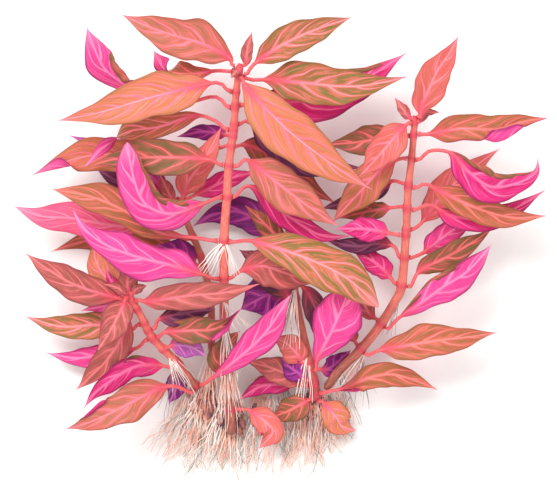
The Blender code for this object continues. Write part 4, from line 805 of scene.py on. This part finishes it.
def shapeStem(bm, name):
    route = stemRoutes[name]
    length = lengthOf(route)
    rings = round(length / stem["ringEvery"])
    grown = [spec["points"][0] for spec in everyLeaf.values() if spec["stem"] == name]
    nodeShares = [nearestIndex(route, node) / (len(route) - 1) for node in grown]

    def section(share):
        place = routeAt(route, share)
        along = directionAt(route, share)
        side = up.cross(along).normalized()
        away = min(abs(share - node) for node in nodeShares) * length
        swell = math.exp(-((away / stem["swellReach"]) ** 2))
        ends = min(1.0, 0.55 + 0.45 * min(share, 1 - share) * length / 1.5)
        radius = place.w * (1 + (joints["swell"] - 1.05) * swell) * ends
        old = max(stemAge.get(name, 0), 1.2 - ease(0, 1.2, share / 0.42))
        return place.xyz, side, along.cross(side), radius, (share * length, 0, old), (swell, 0, 0)

    veinLayer = attributes(bm)[0]
    for vertex in bendTube(bm, unitTube(stem["sides"], rings), rings, section, 0):
        # how far round the stem, for its fine ridges
        away = vertex.co / mm - routeAt(route, vertex[veinLayer][0] / length).xyz
        vertex[veinLayer][1] = math.atan2(away.z, away.x) * 2


stemFinish = stemMaterial()
for name in stems:
    bm = newShape()
    shapeStem(bm, name)
    finishPiece(name.replace("stem_", "stemTube_"), bm, [stemFinish], "stem", name)
print("stems made:", len(stems))


def rootMaterial(name, light, dark, scale=160.0):
    # Water roots: matt and hair-thin, cream to peach when young and grey or brown when old.
    material, tree, shader = newMaterial(name)
    where = addNode(tree, "TexCoord").outputs["Object"]
    grain = addNode(tree, "TexNoise", {"Vector": where, "Scale": scale, "Detail": 3.0}).outputs["Fac"]
    grain = addNode(tree, "MapRange", {"Value": grain, "From Min": 0.38, "From Max": 0.62}).outputs[0]
    tree.links.new(layColours(tree, light, [(grain, dark, 1.0)]), shader.inputs["Base Color"])
    shader.inputs["Roughness"].default_value = 0.6
    return material


pale, grey, peach, rotten = range(4)
rootFinishes = [
    rootMaterial("root_pale", "#FFF6F0", "#FBE0D4"),
    rootMaterial("root_grey", "#A09E96", "#74736C"),
    rootMaterial("root_peach", "#FBD2C2", "#F2AE98"),
    rootMaterial("root_rotten", "#B0604A", "#5E3A4C", scale=420.0),
]
roots = {"rings": 22, "sides": 4, "floor": 0.3, "lowest": -94.2, "forkRings": (9, 17), "perCrown": 45}
# Three matted crowns where the old stems end: place and half size.
crowns = [((-32, -58, 0), (5.5, 6, 5)), ((-20.4, -67, 0), (6.5, 9, 5.6)), ((14, -61.5, 0), (6, 6, 5.4))]
# The fringe runs from a line of crowns to a line of root tips, left to right: x, y, and for the crowns z.
crownLine = [
    (-37, -55, 4), (-31, -58, 4), (-24, -64, 5), (-19, -68, 5), (-8, -64, 4), (2, -62, 3), (12, -61, 4),
    (18, -60, 4), (25, -56, 3),
]
tipLine = [
    (-52, -76), (-50, -86), (-45, -84), (-40.5, -94), (-35, -88), (-31, -93.5), (-26, -90), (-21, -94),
    (-15, -91), (-10, -94.2), (-4, -88), (0, -92.5), (6, -88), (11, -92), (16, -84), (23, -84), (28, -76),
    (34, -70),
]
# Roots from the joints of the stems, and in the last three rows from the tangle on the table: start, middle
# of the tips, half their spread in x, how many, and which finish.
hangers = [
    ((-22.4, 3.4, 33.6), (-31, -9, 31), 3.5, 7, pale),
    ((-21.2, 3.4, 33.6), (-18, -9, 31), 3.0, 6, pale),
    ((-22.0, -21, 27), (-17, -31, 24), 7.5, 8, pale),
    ((-21.6, -30, 24), (-20, -50, 20), 4.5, 12, pale),
    ((-21.6, -36, 22), (-19, -62, 14), 5.0, 14, peach),
    ((-21.6, -44, 18), (-21, -70, 9), 5.0, 12, pale),
    ((-43.5, -42.5, 17.5), (-38, -54, 12), 5.5, 12, pale),
    ((-41.5, -45.5, 15.5), (-44.5, -66, 4), 5.0, 5, grey),
    ((6.0, -15, 20), (4.5, -36, 20), 4.0, 8, pale),
    ((5.0, -16, 19), (2.0, -32, 17), 3.5, 5, grey),
    ((11.6, -40, 17), (8.5, -60, 12), 4.5, 9, pale),
    ((50, -16.6, 16), (43, -30, 12), 3.0, 7, grey),
    ((38.5, -35, 13), (24, -52, 12), 4.0, 12, pale),
    ((37, -36.5, 13), (22, -55, 10), 4.0, 12, peach),
    ((33.5, -40, 10), (35, -60, 2), 4.5, 7, grey),
    ((28, -50, 8), (29, -71, 1.5), 6.0, 6, grey),
    ((-29, -42, 14), (-29, -64, 6), 7.0, 16, peach),
    ((-31, -41, 15), (-31, -60, 7), 8.0, 9, pale),
    ((-30, -50, 7), (-29, -74, 2), 9.0, 16, pale),
    ((-9, -51, 0.9), (-7, -75, 1.5), 9.0, 22, peach),
    ((-3, -53, 0.9), (0, -76, 1.5), 11.0, 20, pale),
    ((2, -55, 0.9), (3, -77, 1.5), 10.0, 7, grey),
]
threadTube = unitTube(roots["sides"], roots["rings"])
threadTurns = ((3.4, 1.0), (9, 0.4), (21, 0.16))  # three bends of a root, slow to quick, and their sizes
chance = random.Random(7)


def thread(bm, start, tip, radius, material, sway=1.6, arch=0.0):
    # one hair root, thick where it starts; gives back its places, for forks
    aside = (tip - start).cross(up).normalized()
    turns = [(speed, chance.uniform(0, 6.3), size) for speed, size in threadTurns]
    places = []
    for ring in range(roots["rings"] + 1):
        s = ring / roots["rings"]
        bend = sum(size * (math.sin(speed * s + shift) - math.sin(shift)) for speed, shift, size in turns)
        place = start.lerp(tip, s) + aside * sway * bend * (0.35 + 0.65 * s)
        place.z = max(place.z + arch * math.sin(math.pi * s), roots["floor"])
        places.append(place)

    def section(share):
        index = round(share * roots["rings"])
        along = (places[min(index + 1, len(places) - 1)] - places[max(index - 1, 0)]).normalized()
        side = up.cross(along).normalized()
        return places[index], side, along.cross(side), radius * (1 - 0.5 * share), (share, 0, 0), (0, 0, 0)

    bendTube(bm, threadTube, roots["rings"], section, material)
    return places


def onLine(line, share):
    place = share * (len(line) - 1)
    index = min(int(place), len(line) - 2)
    return Vector(line[index]).lerp(Vector(line[index + 1]), place - index)


def onStem(wanted):
    # just inside the nearest stem's skin, on the side of the wanted place
    spots = [point for route in stemRoutes.values() for point in route]
    nearest = min(spots, key=lambda point: (point.xyz - wanted).length)
    return nearest.xyz + (wanted - nearest.xyz).normalized() * nearest.w * 0.8


def shapeFringe(bm, count, kinds, radii, reach, sway):
    for number in range(count):
        share = chance.random()
        start = onLine(crownLine, min(max(share + chance.uniform(-0.06, 0.06), 0), 1))
        start += Vector((chance.uniform(-2.5, 2.5), chance.uniform(-3, 3), chance.uniform(-3, 1.5)))
        edge = onLine(tipLine, share).to_3d()
        tip = start.lerp(edge, chance.uniform(*reach))
        tip.y = max(tip.y, roots["lowest"])
        tip.z = chance.uniform(0.4, 1.8)
        kind = chance.choice(kinds)
        thick = chance.uniform(*radii)
        places = thread(bm, start, tip, thick, kind, sway=chance.uniform(*sway), arch=chance.uniform(0, 1.5))
        for _ in range(number % 3):  # forks near the end
            first = places[chance.randint(*roots["forkRings"])]
            end = first + (tip - first) * chance.uniform(0.5, 1.1) + Vector((chance.uniform(-4, 4), 0, 0))
            end.y = max(end.y, roots["lowest"])
            thread(bm, first, end, thick * 0.5, kind, sway=0.8)


def lump(bm, place, size, twist, number, material):
    made = bmesh.ops.create_icosphere(bm, subdivisions=3, radius=1)
    turn = Quaternion(up, twist)
    for vertex in made["verts"]:
        bulge = 1 + 0.2 * math.sin(3 * vertex.co.x + number) * math.cos(4 * vertex.co.y + 2 * number)
        vertex.co = (place + turn @ (vertex.co * size * bulge)) * mm
        vertex.co.z = max(vertex.co.z, roots["floor"] * mm)
    for face in {face for vertex in made["verts"] for face in vertex.link_faces}:
        face.material_index = material


bm = newShape()
for number, (place, size) in enumerate(crowns):
    place, size = Vector(place), Vector(size)
    lump(bm, place, size * 0.9, 0.3, number, rotten)
    for _ in range(roots["perCrown"]):
        turn, lean = chance.uniform(0, 2 * math.pi), chance.uniform(0.05, 1.3)
        outward = Vector((math.sin(lean) * math.cos(turn), math.sin(lean) * math.sin(turn), math.cos(lean)))
        outward = outward * size
        tip = place + outward * 1.5 + Vector((chance.uniform(-3, 3), -chance.uniform(5, 20), 0))
        tip.z = chance.uniform(0.5, 2)
        radius, kind = chance.uniform(0.16, 0.32), chance.choice((pale, peach, peach))
        thread(bm, place + outward, tip, radius, kind, sway=0.7, arch=1.5)
shapeFringe(bm, 130, (pale, pale, peach), radii=(0.16, 0.3), reach=(0.35, 0.8), sway=(0.5, 1.6))
shapeFringe(bm, 100, (pale, peach, peach), radii=(0.15, 0.26), reach=(0.8, 1.06), sway=(1.0, 2.6))
shapeFringe(bm, 46, (grey,), radii=(0.11, 0.18), reach=(0.7, 1.06), sway=(1.8, 3.6))
finishPiece("rootFringe", bm, rootFinishes, "root", "root_mass")

bm = newShape()
for start, middle, spread, count, kind in hangers:
    for number in range(count):
        share = (number + 0.5) / count * 2 - 1
        begin = Vector(start) + Vector((share * 1.3, chance.uniform(-1, 1), chance.uniform(-0.6, 0.6)))
        if start[2] > 2:
            begin = onStem(begin)
        shift = Vector((share * spread, chance.uniform(-4, 3), chance.uniform(-1, 1)))
        thick = chance.uniform(0.1, 0.16) if kind == grey else chance.uniform(0.14, 0.26)
        thread(bm, begin, Vector(middle) + shift, thick, kind, sway=chance.uniform(0.2, 0.8), arch=1.0)
finishPiece("stemRootlets", bm, rootFinishes, "root")

# rotting bits of old stem and leaf between the crowns
bm = newShape()
for number in range(26):
    place = onLine(crownLine, chance.uniform(0.05, 0.62))
    place += Vector((chance.uniform(-3, 3), chance.uniform(-5, 3), 1.5))
    size = Vector((chance.uniform(0.7, 1.5), chance.uniform(1.5, 4.2), chance.uniform(0.6, 1.2)))
    lump(bm, place, size, chance.uniform(-0.7, 0.7), number, 0)
finishPiece("rottenBits", bm, [rootFinishes[rotten]], "root")
print("roots made")

bpy.ops.mesh.primitive_plane_add(size=3.0, location=(0, 0, 0))
floor = bpy.context.object
floor.name = "floor"
floorFinish, tree, shader = newMaterial("pale_table")  # matt white laminate: even, hardly any shine
shader.inputs["Base Color"].default_value = toLinear("#F6F5F2")
shader.inputs["Roughness"].default_value = 0.8
floor.data.materials.append(floorFinish)

scene = bpy.context.scene
view = {"distance": 2.4, "focusHeight": 0.030, "width": 0.2228, "centre": (-0.0006, 0.0008), "sensor": 36}
camera = bpy.data.objects.new("camera", bpy.data.cameras.new("camera"))
scene.collection.objects.link(camera)
camera.location = (*view["centre"], view["distance"] + view["focusHeight"])
camera.data.sensor_width = view["sensor"]
camera.data.lens = view["sensor"] * view["distance"] / view["width"]
camera.data.clip_end = 20
scene.camera = camera

lights = {"key": ((-0.7, 0.9, 1.6), 0.8, 26), "fill": ((1.1, -0.5, 1.2), 1.6, 4)}  # place, size, power
for name, (place, size, power) in lights.items():
    lamp = bpy.data.objects.new(name, bpy.data.lights.new(name, "AREA"))
    lamp.data.size, lamp.data.energy = size, power
    lamp.location = place
    lamp.rotation_euler = (Vector((0, 0, 0)) - Vector(place)).to_track_quat("-Z", "Y").to_euler()
    scene.collection.objects.link(lamp)
world = bpy.data.worlds.new("studio")
scene.world = world
world.use_nodes = True
world.node_tree.nodes["Background"].inputs["Color"].default_value = toLinear("#FFFFFF")
world.node_tree.nodes["Background"].inputs["Strength"].default_value = 1.0
scene.view_settings.view_transform = "Standard"
print("studio set")
